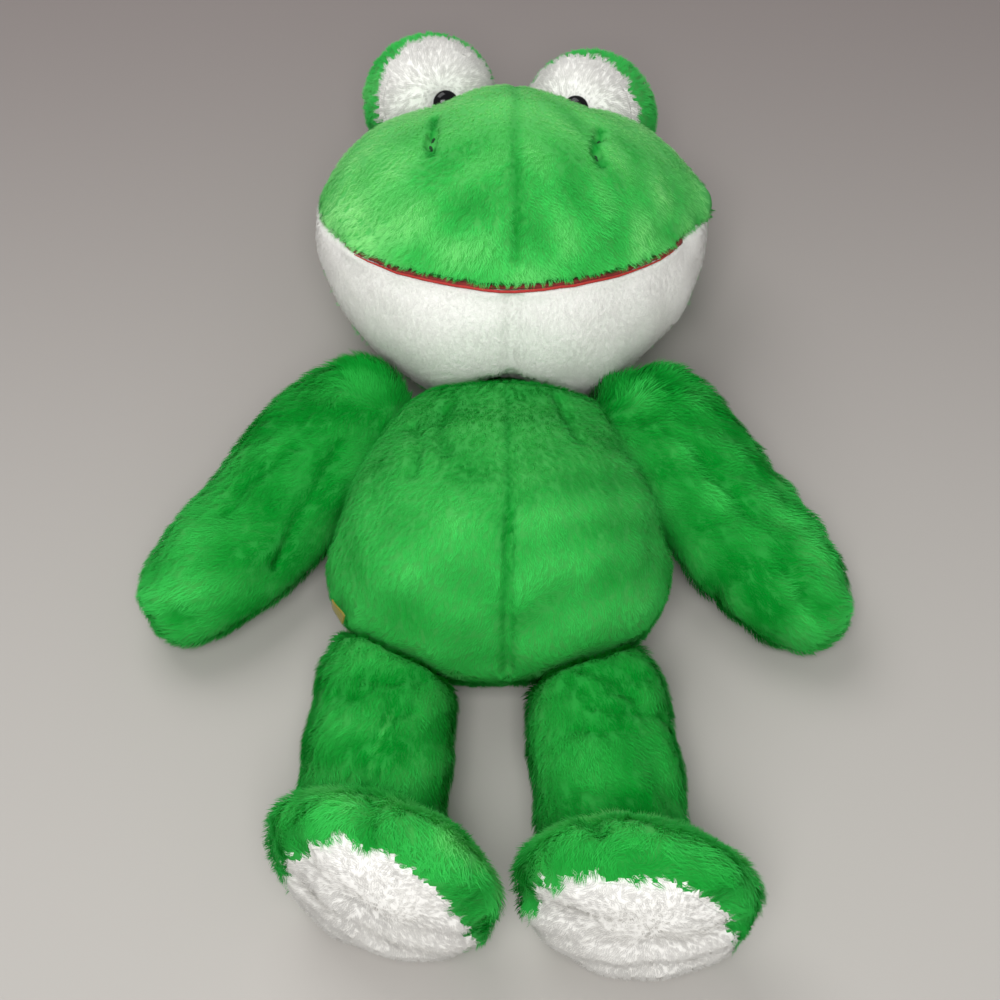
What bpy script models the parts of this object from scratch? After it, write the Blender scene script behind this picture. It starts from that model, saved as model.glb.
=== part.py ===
"""Plush frog lying on its back, as sewn skins over stuffing, hinged at neck, shoulders, hips and ankles.

Metres. +Z points up out of the belly, +Y towards the crown of the head, and +X towards the frog's
own left side. The floor that the toy lies on is z = 0.
"""
import math
from collections import namedtuple

import bmesh
import bpy
from mathutils import Matrix, Vector
from mathutils.bvhtree import BVHTree

# Cloth, clearances and cutters
SKIN = 0.0025            # pile cloth with its backing
GAP = 0.0003             # between neighbouring pieces
MERGE = 0.000003         # points closer than this are one
FLOOR_PRESS = 0.0005     # how far each resting form is pressed flat
OVERRUN = 0.004          # how far a cutter runs past what it cuts
REACH = 0.200            # how far a joint's trimming wedge reaches, past any limb
ARC_STEPS = 7            # facets of a limb's round nose
THIN_POINTS = 12         # points round the eyes, washers and thin rods
THICK_POINTS = 16        # points round the openings at the ankles and washers
WIDE_POINTS = 20         # points round the openings at the neck
SHARP_EDGE_DEG = 40.0    # edges that turn more than this are shaded sharp

# Torso
TORSO_LENGTH = 0.143
TORSO_HALF_WIDTH = 0.071
TORSO_FRONT = 0.060
TORSO_BACK = 0.0425
TORSO_TOP_Y = 0.060

# Neck: a round shoulder dome that the head's hollow turns on
NECK_RADIUS = 0.027
NECK_X = 0.003
NECK_Y = 0.038
NECK_Z = 0.034
NECK_POINTS = 24
NECK_RINGS = 7
NECK_OPENING_RADIUS = 0.013
NOD_BACK_DEG = 12.0
NOD_FORWARD_DEG = 12.0
NOD_STEPS = 2
SWING_CLEARANCE = 0.0008 # further room between two forms that swing past each other

# Head
HEAD_LENGTH = 0.160
HEAD_HALF_WIDTH = 0.089
HEAD_FRONT = 0.061
HEAD_BACK = 0.0595
HEAD_X = 0.003
HEAD_TURN_DEG = -1.5
HEAD_CHIN_Y = 0.050

# Mouth: a wedge of the head below the mouth line is the jaw
FACE_X = 0.006           # middle of the mouth and of the nostrils
MOUTH_APEX_Y = 0.153
MOUTH_APEX_Z = 0.062
MOUTH_LIP_Y = 0.061
MOUTH_LIP_Z = 0.104
JAW_NAPE_Y = 0.056
JAW_NAPE_Z = 0.012
MOUTH_HALF_WIDTH = 0.074
MOUTH_CLOTH = 0.0016
MOUTH_POCKET = 0.007
MOUTH_LIP_PROUD = 0.0006

# Eye bumps and eyes
BUMP_RADIUS = 0.033
BUMP_SPACING = 0.075
BUMP_X = 0.0045
BUMP_RISE = 0.006        # how far the bumps' centres lie past the head's crown
BUMP_SKEW = 0.0055       # how far the left bump sits lower, and the right one higher
BUMP_Z = 0.050
BUMP_POINTS = 16
BUMP_RINGS = 9
EYE_LOOK_DOWN_DEG = 46.0
EYE_LOOK_IN_DEG = 15.0
EYE_LOOK_SKEW_DEG = 3.0  # how much further the left eye looks inward than the middle, and the right one less
WHITE_HALF_ANGLE_DEG = 58.0
EYE_RADIUS = 0.0060
EYE_HEIGHT = 0.0048
EYE_DOME_POINTS = 3
EYE_EDGE_SHARE = 0.25    # height of the dome's upright edge as a share of the whole
EYE_FOOT_SHARE = 0.90    # the eye's foot as a share of its radius
SHANK_RADIUS = 0.0024
SHANK_LENGTH = 0.011
SHANK_RIB = 0.0005
SHANK_RIBS = 2
WASHER_RADIUS = 0.0075
WASHER_THICKNESS = 0.0014
WASHER_ROOM = 0.0006     # between the washer's rim and the white cloth

# Nostril stitches
NOSTRIL_SPACING = 0.071
NOSTRIL_Y = 0.134
NOSTRIL_LENGTH = 0.024
THREAD_RADIUS = 0.0008
THREAD_LIFT = 0.0005     # clears the cloth's facets between two points of the stitch
NOSTRIL_STEPS = 8

# Arms
ARM_LENGTH = 0.150
ARM_HALF_WIDTH = 0.0315
ARM_HALF_THICKNESS = 0.024
ARM_START_X = 0.0495
ARM_START_Y = 0.0650
ARM_SPLAY_DEG = 37.5
ARM_SKEW_DEG = 1.0
SHOULDER_RISE = 0.013
SHOULDER_TOP_X = 0.0475
SHOULDER_TOP_Y = 0.055
ARMPIT_X = 0.069
ARMPIT_Y = -0.009
SHOULDER_Z = 0.039
SHOULDER_NOSE = 0.014
SHOULDER_FRONT_FLARE_DEG = 22.0
SHOULDER_BACK_FLARE_DEG = 40.0
SHOULDER_END = 0.015
ARM_BACK_DEG = 15.0
ARM_FORWARD_DEG = 50.0
ARM_OPENING_LENGTH = 0.034
ARM_OPENING_HEIGHT = 0.010

# Legs
LEG_LENGTH = 0.116
LEG_HALF_WIDTH = 0.0300
LEG_HALF_THICKNESS = 0.0275
HIP_X = 0.0415
HIP_CENTRE_X = -0.0035
HIP_RISE = 0.010         # how far the hips lie inside the torso's lower end
HIP_Z = 0.053
HIP_INSET = 0.022
HIP_SIT_DEG = 75.0
HIP_STEPS = 4
LEG_SPLAY_DEG = 4.5
LEG_SLIP = 0.004         # how far the left leg reaches lower than the middle, and the right one higher
LEG_OPENING_RADIUS = 0.011

# Feet
FOOT_LENGTH = 0.087
FOOT_HALF_WIDTH = 0.0455
FOOT_SOLE_DEPTH = 0.024
FOOT_INSTEP_DEPTH = 0.022
ANKLE_INSET = 0.015      # how far the ankle lies inside the leg's end
ANKLE_Z = 0.030
ANKLE_NOSE = 0.014
ANKLE_FLARE_DEG = 24.0
ANKLE_SEAT = 0.018
FOOT_SHIFT = 0.00675     # how far the feet sit towards the frog's left of their ankles
FOOT_SPREAD = -0.00275
ANKLE_FLEX_DEG = 15.0
FOOT_ROLL_DEG = 2.5
FOOT_LEAN_DEG = 1.0
FOOT_YAW_DEG = 6.0
FOOT_TURN_DEG = -14.0
SOLE_PANEL_DEPTH = 0.012
FOOT_OPENING_RADIUS = 0.009

# Side tag: a bare satin tab sewn into the hip seam
TAG_LENGTH = 0.009
TAG_WIDTH = 0.0060
TAG_THICKNESS = 0.0008
TAG_RISE = 0.030         # how far the tag lies up from the torso's lower end
TAG_ROOM = 0.0006        # between the tab and the torso's cloth
TAG_Z = 0.050

RIDGE_POWER = 12         # how narrow a form's front ridge is

Form = namedtuple("Form", "length half_width front back shares rings points")

# Each station: along, width, front, back, ridge down the front, rise, as shares of the form's own sizes
TORSO_SHARES = (
    (0.00, 0.00, 0.00, 0.00, 0.0, 0.0),
    (0.02, 0.38, 0.34, 0.38, 0.0, 0.0),
    (0.08, 0.68, 0.66, 0.68, 0.0, 0.0),
    (0.18, 0.91, 0.92, 0.92, 0.0, 0.0),
    (0.30, 1.00, 1.00, 1.00, 0.0, 0.0),
    (0.44, 0.99, 0.97, 1.00, 0.0, 0.0),
    (0.58, 0.93, 0.85, 1.00, 0.0, 0.0),
    (0.72, 0.82, 0.66, 0.98, 0.0, 0.0),
    (0.84, 0.69, 0.52, 0.93, 0.0, 0.0),
    (0.94, 0.50, 0.38, 0.75, 0.0, 0.0),
    (1.00, 0.00, 0.00, 0.00, 0.0, 0.0),
)
HEAD_SHARES = (
    (0.00, 0.00, 0.00, 0.00, 0.0, 0.0),
    (0.02, 0.30, 0.38, 0.40, 0.0, 0.0),
    (0.07, 0.48, 0.65, 0.70, 0.0, 0.0),
    (0.17, 0.71, 0.87, 0.92, 0.0, 0.0),
    (0.34, 0.93, 0.98, 1.00, 0.0, 0.0),
    (0.52, 1.00, 0.98, 1.00, 0.04, 0.0),
    (0.70, 0.93, 0.79, 0.98, 0.17, 0.0),
    (0.85, 0.72, 0.53, 0.88, 0.26, 0.0),
    (0.95, 0.40, 0.28, 0.60, 0.24, 0.0),
    (1.00, 0.00, 0.00, 0.00, 0.0, 0.0),
)
ARM_SHARES = (
    (0.00, 0.00, 0.00, 0.00, 0.0, 1.0),
    (0.03, 0.58, 0.54, 0.52, 0.0, 1.0),
    (0.12, 0.92, 0.88, 0.86, 0.0, 1.0),
    (0.26, 1.03, 1.00, 1.00, 0.0, 0.8),
    (0.43, 0.99, 1.00, 1.00, 0.0, 0.35),
    (0.58, 0.97, 1.00, 1.00, 0.0, 0.0),
    (0.72, 0.91, 0.98, 1.00, 0.0, 0.0),
    (0.85, 0.76, 0.86, 1.00, 0.0, 0.0),
    (0.95, 0.48, 0.58, 0.78, 0.0, 0.0),
    (1.00, 0.00, 0.00, 0.00, 0.0, 0.0),
)
LEG_SHARES = (
    (0.00, 0.00, 0.00, 0.00, 0.0, 0.0),
    (0.03, 0.50, 0.55, 0.55, 0.0, 0.0),
    (0.12, 0.84, 0.88, 0.90, 0.0, 0.0),
    (0.30, 0.99, 1.00, 1.00, 0.0, 0.0),
    (0.52, 1.00, 0.99, 1.00, 0.0, 0.0),
    (0.74, 0.99, 0.96, 1.00, 0.0, 0.0),
    (0.91, 0.86, 0.82, 0.90, 0.0, 0.0),
    (1.00, 0.00, 0.00, 0.00, 0.0, 0.0),
)
FOOT_SHARES = (
    (0.00, 0.00, 0.00, 0.00, 0.0, 0.0),
    (0.03, 0.50, 0.55, 0.55, 0.0, 0.0),
    (0.12, 0.78, 0.88, 0.88, 0.0, 0.0),
    (0.30, 0.96, 1.00, 1.00, 0.0, 0.0),
    (0.52, 1.00, 0.98, 1.00, 0.0, 0.0),
    (0.72, 0.96, 0.92, 0.95, 0.0, 0.0),
    (0.88, 0.76, 0.72, 0.76, 0.0, 0.0),
    (0.97, 0.42, 0.42, 0.42, 0.0, 0.0),
    (1.00, 0.00, 0.00, 0.00, 0.0, 0.0),
)

TORSO = Form(TORSO_LENGTH, TORSO_HALF_WIDTH, TORSO_FRONT, TORSO_BACK, TORSO_SHARES, 11, 20)
HEAD = Form(HEAD_LENGTH, HEAD_HALF_WIDTH, HEAD_FRONT, HEAD_BACK, HEAD_SHARES, 12, 24)
ARM = Form(ARM_LENGTH, ARM_HALF_WIDTH, ARM_HALF_THICKNESS, ARM_HALF_THICKNESS, ARM_SHARES, 9, 16)
LEG = Form(LEG_LENGTH, LEG_HALF_WIDTH, LEG_HALF_THICKNESS, LEG_HALF_THICKNESS, LEG_SHARES, 8, 16)
FOOT = Form(FOOT_LENGTH, FOOT_HALF_WIDTH, FOOT_SOLE_DEPTH, FOOT_INSTEP_DEPTH, FOOT_SHARES, 9, 16)

NECK_PIVOT = Vector((NECK_X, NECK_Y, NECK_Z))
TORSO_BOTTOM_Y = TORSO_TOP_Y - TORSO_LENGTH
TORSO_PLACE = Matrix.Translation((0.0, TORSO_BOTTOM_Y, TORSO_BACK - FLOOR_PRESS))
HEAD_TURN = Matrix.Rotation(math.radians(HEAD_TURN_DEG), 4, "Z")
HEAD_PLACE = Matrix.Translation((HEAD_X, HEAD_CHIN_Y, HEAD_BACK - FLOOR_PRESS)) @ HEAD_TURN

Hinge = namedtuple("Hinge", "point axis outward")


def clear_scene():
    for item in list(bpy.data.objects):
        bpy.data.objects.remove(item, do_unlink=True)


def material(name, colour, roughness, metallic=0.0):
    made = bpy.data.materials.get(name) or bpy.data.materials.new(name)
    made.use_nodes = True
    shader = made.node_tree.nodes["Principled BSDF"]
    shader.inputs["Base Color"].default_value = (*colour, 1.0)
    shader.inputs["Roughness"].default_value = roughness
    shader.inputs["Metallic"].default_value = metallic
    return made


def green_pile():
    return material("green_pile", (0.030, 0.420, 0.080), 0.90)


def white_pile():
    return material("white_pile", (0.800, 0.800, 0.770), 0.90)


def red_cloth():
    return material("red_cloth", (0.420, 0.015, 0.020), 0.75)


def fibre_fill():
    return material("fibre_fill", (0.850, 0.850, 0.830), 0.95)


def black_plastic():
    return material("black_plastic", (0.008, 0.008, 0.009), 0.12)


def washer_plastic():
    return material("washer_plastic", (0.700, 0.700, 0.680), 0.45)


def green_thread():
    return material("green_thread", (0.012, 0.130, 0.030), 0.70)


def gold_satin():
    return material("gold_satin", (0.550, 0.340, 0.050), 0.40)


def face_outward(bm):
    bmesh.ops.recalc_face_normals(bm, faces=bm.faces)
    if bm.calc_volume(signed=True) < 0.0:
        bmesh.ops.reverse_faces(bm, faces=bm.faces)
    bm.normal_update()


def to_object(name, bm):
    face_outward(bm)
    mesh = bpy.data.meshes.new(name)
    bm.to_mesh(mesh)
    bm.free()
    made = bpy.data.objects.new(name, mesh)
    bpy.context.scene.collection.objects.link(made)
    return made


def carve(piece, cutter, operation="DIFFERENCE", keep_cutter=False):
    """Apply one exact Boolean to the piece."""
    step = piece.modifiers.new("carve", "BOOLEAN")
    step.object = cutter
    step.operation = operation
    step.solver = "EXACT"
    bpy.context.view_layer.update()
    graph = bpy.context.evaluated_depsgraph_get()
    carved = bpy.data.meshes.new_from_object(piece.evaluated_get(graph))
    piece.modifiers.clear()
    piece.data = carved
    if not keep_cutter:
        bpy.data.objects.remove(cutter, do_unlink=True)
    return piece


def station(shares, share_along):
    """A smooth curve through the stations, square to the axis at both ends."""
    spans = len(shares) - 1
    index = min(int(share_along * spans), spans - 1)
    step = share_along * spans - index

    def pick(number):
        if number < 0:
            inner = shares[1]
            return (inner[0], -inner[1], -inner[2], -inner[3], inner[4], inner[5])
        if number > spans:
            inner = shares[spans - 1]
            return (inner[0], -inner[1], -inner[2], -inner[3], inner[4], inner[5])
        return shares[number]

    before, start, end, after = (pick(index + offset) for offset in (-1, 0, 1, 2))
    blend = []
    for a, b, c, d in zip(before, start, end, after):
        bend = (2 * a - 5 * b + 4 * c - d) * step ** 2 + (3 * b - a - 3 * c + d) * step ** 3
        blend.append(0.5 * (2 * b + (c - a) * step + bend))
    return blend


def swell(name, form, place, inset=0.0, rise=0.0):
    """A closed stuffed form along its own +Y, front towards its own +Z, shrunk by inset."""
    bm = bmesh.new()
    bmesh.ops.create_uvsphere(bm, u_segments=form.points, v_segments=form.rings, radius=1.0)
    for vert in bm.verts:
        latitude = math.acos(max(-1.0, min(1.0, -vert.co.z))) / math.pi
        along, width, front, back, ridge, up = station(form.shares, latitude)
        around = Vector((vert.co.x, vert.co.y))
        if around.length > 0.0:
            around.normalize()
        depth = form.back * back
        if around.y > 0.0:
            depth = form.front * front * (1.0 + ridge * around.y ** RIDGE_POWER)
        vert.co = Vector((
            around.x * form.half_width * width,
            along * form.length,
            around.y * depth + up * rise,
        ))
    bmesh.ops.triangulate(bm, faces=bm.faces, quad_method="FIXED")
    face_outward(bm)
    for vert, normal in [(v, v.normal.copy()) for v in bm.verts]:
        vert.co -= normal * inset
    bmesh.ops.transform(bm, matrix=place, verts=bm.verts)
    return to_object(name, bm)


def press_flat(piece, height):
    """Cut the form flat where it rests."""
    bm = bmesh.new()
    bm.from_mesh(piece.data)
    whole = bm.verts[:] + bm.edges[:] + bm.faces[:]
    bmesh.ops.bisect_plane(bm, geom=whole, plane_co=(0.0, 0.0, height), plane_no=(0.0, 0.0, -1.0),
                           clear_outer=True)
    rim = [edge for edge in bm.edges if edge.is_boundary]
    if rim:
        bmesh.ops.holes_fill(bm, edges=rim, sides=0)
    face_outward(bm)
    bm.to_mesh(piece.data)
    bm.free()
    return piece


def bump_flat_share():
    """How near the middle of a bump's facets come to its centre, as a share of its radius."""
    return math.cos(math.pi / BUMP_POINTS) * math.cos(math.pi / (2 * BUMP_RINGS))


def bump_ball(name, side, grow, outside=False):
    """A faceted ball, inside the bump's true sphere or, for a hollow, all outside it."""
    radius = BUMP_RADIUS + grow
    if outside:
        radius /= bump_flat_share()
    bm = bmesh.new()
    bmesh.ops.create_uvsphere(bm, u_segments=BUMP_POINTS, v_segments=BUMP_RINGS, radius=radius)
    bmesh.ops.translate(bm, vec=bump_centre(side), verts=bm.verts)
    return to_object(name, bm)


def neck_ball(name, grow, outside=False):
    """A ball on the neck's pivot with its poles on the nod axis, so that only its points turn past."""
    radius = NECK_RADIUS + grow
    if outside:
        radius /= math.cos(math.pi / NECK_POINTS)
    bm = bmesh.new()
    bmesh.ops.create_uvsphere(bm, u_segments=NECK_POINTS, v_segments=NECK_RINGS, radius=radius)
    bmesh.ops.transform(bm, matrix=Matrix.Rotation(math.pi / 2, 4, "Y"), verts=bm.verts)
    bmesh.ops.translate(bm, vec=NECK_PIVOT, verts=bm.verts)
    return to_object(name, bm)


def prism(name, outline, half_length, place):
    """A closed prism along its own X from an outline of (Y, Z) points."""
    bm = bmesh.new()
    corners = [bm.verts.new((-half_length, y, z)) for y, z in outline]
    face = bm.faces.new(corners)
    moved = bmesh.ops.extrude_face_region(bm, geom=[face])
    far_side = [item for item in moved["geom"] if isinstance(item, bmesh.types.BMVert)]
    bmesh.ops.translate(bm, vec=(2 * half_length, 0.0, 0.0), verts=far_side)
    bmesh.ops.transform(bm, matrix=place, verts=bm.verts)
    return to_object(name, bm)


def rod(name, radius, start, end, segments):
    """A round bar between two points."""
    axis = end - start
    bm = bmesh.new()
    bmesh.ops.create_cone(bm, cap_ends=True, segments=segments, radius1=radius, radius2=radius,
                          depth=axis.length)
    turn = axis.to_track_quat("Z", "Y").to_matrix().to_4x4()
    bmesh.ops.transform(bm, matrix=Matrix.Translation((start + end) / 2) @ turn, verts=bm.verts)
    return to_object(name, bm)


def hinge_place(hinge):
    """Frame of a hinge: X along its axis, Y outward, Z to the front."""
    front = hinge.axis.cross(hinge.outward)
    columns = Matrix((hinge.axis, hinge.outward, front)).transposed()
    return Matrix.Translation(hinge.point) @ columns.to_4x4()


def wedge_outline(radius, front_deg, back_deg, reach, outside):
    """A round nose of this radius on the hinge, widening outward by the two angles."""
    front = math.radians(front_deg)
    back = math.radians(back_deg)
    outline = []
    first = math.pi / 2 + front
    last = 3 * math.pi / 2 - back
    if outside:
        radius /= math.cos((last - first) / ARC_STEPS / 2)
    for step in range(ARC_STEPS + 1):
        angle = first + (last - first) * step / ARC_STEPS
        outline.append((radius * math.cos(angle), radius * math.sin(angle)))
    for step in range(ARC_STEPS + 1):
        angle = -back + (front + back) * step / ARC_STEPS
        outline.append((reach * math.cos(angle), reach * math.sin(angle)))
    return outline


def nose(hinge, radius, front_deg, back_deg, inset):
    """What a limb keeps: a round nose on the hinge, flaring outward to its front and back."""
    outline = wedge_outline(radius - inset, front_deg, back_deg, REACH, False)
    return prism("nose", outline, REACH, hinge_place(hinge))


def socket(hinge, radius, front_deg, back_deg, half_length, inset):
    """What a limb's neighbour gives up, so that the nose can swing by its range."""
    outline = wedge_outline(radius + GAP + inset, front_deg, back_deg, REACH, True)
    return prism("socket", outline, half_length + inset, hinge_place(hinge))


def skin_from(outer, inner, opening):
    """A cloth skin: the outer form less the inner one, open where it is sewn to its neighbour."""
    carve(outer, inner)
    return carve(outer, opening)


def shoulder(side):
    """Hinge along the shoulder seam of the side: +1 is the frog's left, -1 its right."""
    top = Vector((side * SHOULDER_TOP_X, SHOULDER_TOP_Y, SHOULDER_Z))
    pit = Vector((side * ARMPIT_X, ARMPIT_Y, SHOULDER_Z))
    axis = (pit - top).normalized() * side
    outward = Vector((0.0, 0.0, 1.0)).cross(axis)
    return Hinge((top + pit) / 2, axis, outward)


def shoulder_half_length():
    top = Vector((SHOULDER_TOP_X, SHOULDER_TOP_Y))
    pit = Vector((ARMPIT_X, ARMPIT_Y))
    return (top - pit).length / 2 + SHOULDER_END


def leg_turn(side):
    return math.radians(side * LEG_SPLAY_DEG)


def hip_x(side):
    return HIP_CENTRE_X + side * HIP_X


def hip(side):
    point = Vector((hip_x(side), TORSO_BOTTOM_Y + HIP_RISE, HIP_Z))
    return Hinge(point, Vector((-1.0, 0.0, 0.0)), Vector((0.0, -1.0, 0.0)))


def leg_place(side):
    turn = Matrix.Rotation(math.pi + leg_turn(side), 4, "Z")
    start = Vector((hip_x(side), hip(side).point.y, LEG_HALF_THICKNESS - FLOOR_PRESS))
    slip = Matrix.Translation((0.0, side * LEG_SLIP - HIP_INSET, 0.0))
    return Matrix.Translation(start) @ turn @ slip


def ankle(side):
    turn = Matrix.Rotation(leg_turn(side), 3, "Z")
    outward = turn @ Vector((0.0, -1.0, 0.0))
    reach = LEG_LENGTH - HIP_INSET - ANKLE_INSET + side * LEG_SLIP
    point = Vector((hip_x(side), hip(side).point.y, ANKLE_Z)) + outward * reach
    return Hinge(point, turn @ Vector((-1.0, 0.0, 0.0)), outward)


def foot_place(side):
    joint = ankle(side)
    yaw = Matrix.Rotation(math.radians(FOOT_TURN_DEG + side * FOOT_YAW_DEG), 4, "Z")
    roll = Matrix.Rotation(math.radians(FOOT_LEAN_DEG + side * FOOT_ROLL_DEG), 4, "Y")
    stand = Matrix.Rotation(math.pi / 2, 4, "X")
    heel = joint.point + joint.outward * ANKLE_SEAT
    heel.x += FOOT_SHIFT + side * FOOT_SPREAD
    heel.z = FOOT_LENGTH / 2
    middle = Matrix.Translation((0.0, -FOOT_LENGTH / 2, 0.0))
    return Matrix.Translation(heel) @ yaw @ roll @ stand @ middle


def arm_place(side):
    splay = math.radians(ARM_SPLAY_DEG - side * ARM_SKEW_DEG)
    turn = Matrix.Rotation(side * (splay - math.pi), 4, "Z")
    start = Vector((side * ARM_START_X, ARM_START_Y, ARM_HALF_THICKNESS - FLOOR_PRESS))
    return Matrix.Translation(start) @ turn


def neck():
    """The head nods about X on the neck dome, forward when positive."""
    return Hinge(NECK_PIVOT, Vector((1.0, 0.0, 0.0)), Vector((0.0, 1.0, 0.0)))


def steps_between(low, high, count):
    return [low + (high - low) * step / count for step in range(count + 1)]


def clear_of_head(form, inset, hinge=None, angles=(0.0,)):
    """Press the form back where the nodding head, and its own swing on the hinge, would meet it."""
    for nod in steps_between(-NOD_BACK_DEG, NOD_FORWARD_DEG, NOD_STEPS):
        for angle in angles:
            head = swell("head_cut", HEAD, HEAD_PLACE, -GAP - SWING_CLEARANCE - inset)
            head.data.transform(swing(neck(), nod))
            if hinge is not None:
                head.data.transform(swing(hinge, -angle))
            carve(form, head)
    return form


def torso_form(inset):
    """The torso with its neck dome, pressed flat on the floor and hollowed for the limbs."""
    form = swell("torso_form", TORSO, TORSO_PLACE, inset)
    clear_of_head(form, inset)
    carve(form, neck_ball("dome", -inset), "UNION")
    press_flat(form, inset)
    for side in (1, -1):
        carve(form, socket(shoulder(side), SHOULDER_NOSE, SHOULDER_FRONT_FLARE_DEG + ARM_FORWARD_DEG,
                           SHOULDER_BACK_FLARE_DEG + ARM_BACK_DEG, shoulder_half_length(), inset))
    return form


def head_form(inset):
    """The head, pressed flat on the floor and hollowed for the neck, the eye bumps and the eyes."""
    form = swell("head_form", HEAD, HEAD_PLACE, inset)
    press_flat(form, inset)
    for side in (1, -1):
        centre = bump_centre(side)
        axis = eye_axis(side)
        room = GAP + inset
        carve(form, bump_ball("bump_hollow", side, room, outside=True))
        top = centre + axis * (BUMP_RADIUS + EYE_HEIGHT + GAP + room)
        carve(form, rod("eye_room", EYE_RADIUS + GAP + room, centre, top, THICK_POINTS))
    return carve(form, neck_ball("neck_hollow", GAP + inset, outside=True))


def head_swell(inset):
    return swell("head_swell", HEAD, HEAD_PLACE, inset)


def arm_form(side, inset):
    form = swell("arm_form", ARM, arm_place(side), inset, rise=SHOULDER_RISE)
    clear_of_head(form, inset, shoulder(side), (-ARM_BACK_DEG, 0.0, ARM_FORWARD_DEG))
    press_flat(form, inset)
    kept = nose(shoulder(side), SHOULDER_NOSE, SHOULDER_FRONT_FLARE_DEG, SHOULDER_BACK_FLARE_DEG, inset)
    return carve(form, kept, "INTERSECT")


def leg_form(side, inset):
    """A leg, cut by the torso at its root and rounded over its ankle."""
    form = swell("leg_form", LEG, leg_place(side), inset)
    press_flat(form, inset)
    for step in range(HIP_STEPS + 1):
        torso = swell("torso_cut", TORSO, TORSO_PLACE, -GAP - inset)
        torso.data.transform(swing(hip(side), -HIP_SIT_DEG * step / HIP_STEPS))
        carve(form, torso)
    kept = nose(flipped(ankle(side)), ANKLE_NOSE, ANKLE_FLARE_DEG, ANKLE_FLARE_DEG, inset)
    return carve(form, kept, "INTERSECT")


def swing(hinge, angle_deg):
    """The turn of a hinge by this angle, forward when positive."""
    turn = Matrix.Rotation(math.radians(angle_deg), 4, hinge.axis)
    return Matrix.Translation(hinge.point) @ turn @ Matrix.Translation(-hinge.point)


def flipped(hinge):
    """The same hinge seen from its other side."""
    return Hinge(hinge.point, -hinge.axis, -hinge.outward)


def foot_form(side, inset):
    form = swell("foot_form", FOOT, foot_place(side), inset)
    press_flat(form, inset)
    opened = ANKLE_FLARE_DEG + ANKLE_FLEX_DEG
    return carve(form, socket(flipped(ankle(side)), ANKLE_NOSE, opened, opened,
                              LEG_HALF_WIDTH + OVERRUN, inset))


def head_outward():
    return Vector((0.0, 1.0, 0.0))


def torso_pieces():
    opening = rod("neck_opening", NECK_OPENING_RADIUS, NECK_PIVOT,
                  NECK_PIVOT + head_outward() * (NECK_RADIUS + OVERRUN), WIDE_POINTS)
    skin = skin_from(torso_form(0.0), torso_form(SKIN), opening)
    finish(skin, "torso_skin", green_pile(), None)
    finish(torso_form(SKIN + GAP), "torso_stuffing", fibre_fill(), None)


def jaw_wedge(seam):
    """Everything below the mouth line and in front of the nape seam, less half the seam."""
    apex = Vector((MOUTH_APEX_Y, MOUTH_APEX_Z))
    lip = Vector((MOUTH_LIP_Y, MOUTH_LIP_Z)) - apex
    nape = Vector((JAW_NAPE_Y, JAW_NAPE_Z)) - apex
    inward = (lip.normalized() + nape.normalized()).normalized()
    half_angle = lip.angle(nape) / 2
    start = apex + inward * (seam / math.sin(half_angle))
    outline = [start, start + lip.normalized() * REACH, start + nape.normalized() * REACH]
    return prism("jaw_wedge", [tuple(p) for p in outline], HEAD_HALF_WIDTH + OVERRUN,
                 Matrix.Translation((FACE_X, 0.0, 0.0)))


def mouth_slab(name, grow):
    """A flat slab along the mouth line, as wide as the mouth."""
    apex = Vector((0.0, MOUTH_APEX_Y, MOUTH_APEX_Z))
    lip = Vector((0.0, MOUTH_LIP_Y, MOUTH_LIP_Z))
    along = (lip - apex).normalized()
    half = MOUTH_CLOTH / 2 + grow
    outline = [(0.0, -half), (REACH, -half), (REACH, half), (0.0, half)]
    across = Vector((1.0, 0.0, 0.0))
    columns = Matrix((across, along, across.cross(along))).transposed().to_4x4()
    place = Matrix.Translation(apex + Vector((FACE_X, 0.0, 0.0))) @ columns
    return prism(name, outline, MOUTH_HALF_WIDTH + grow, place)


def mouth_pocket(name, grow, proud):
    """The band of the slab that the red mouth cloth takes up, from its lip to its fold."""
    band = mouth_slab(name, grow)
    carve(band, head_swell(-proud), "INTERSECT")
    return carve(band, head_swell(MOUTH_POCKET + grow))


def head_pieces():
    opening_end = NECK_PIVOT + head_outward() * (NECK_RADIUS + SKIN + OVERRUN)
    opening = rod("neck_opening", NECK_OPENING_RADIUS, NECK_PIVOT, opening_end, WIDE_POINTS)
    shell = skin_from(head_form(0.0), head_form(SKIN), opening)
    jaw = shell.copy()
    jaw.data = shell.data.copy()
    bpy.context.scene.collection.objects.link(jaw)
    pocket = mouth_pocket("pocket", GAP, OVERRUN)
    carve(shell, jaw_wedge(-GAP / 2))
    carve(jaw, jaw_wedge(GAP / 2), "INTERSECT")
    stuffing = head_form(SKIN + GAP)
    for piece in (shell, jaw, stuffing):
        carve(piece, pocket, keep_cutter=True)
    bpy.data.objects.remove(pocket, do_unlink=True)
    finish(shell, "head_upper_skin", green_pile(), "head")
    finish(jaw, "jaw_skin", white_pile(), "head")
    finish(stuffing, "head_stuffing", fibre_fill(), "head")
    finish(mouth_pocket("mouth_lining", 0.0, MOUTH_LIP_PROUD), "mouth_lining", red_cloth(), "head")


def bump_centre(side):
    crown = HEAD_CHIN_Y + HEAD_LENGTH
    return Vector((BUMP_X + side * BUMP_SPACING / 2, crown + BUMP_RISE - side * BUMP_SKEW, BUMP_Z))


def eye_axis(side):
    """Where an eye looks: forward, down towards the feet and a little inward."""
    down = math.radians(EYE_LOOK_DOWN_DEG)
    inward = math.radians(EYE_LOOK_IN_DEG + side * EYE_LOOK_SKEW_DEG)
    ahead = math.cos(inward)
    return Vector((-side * math.sin(inward), -ahead * math.sin(down), ahead * math.cos(down)))


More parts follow.
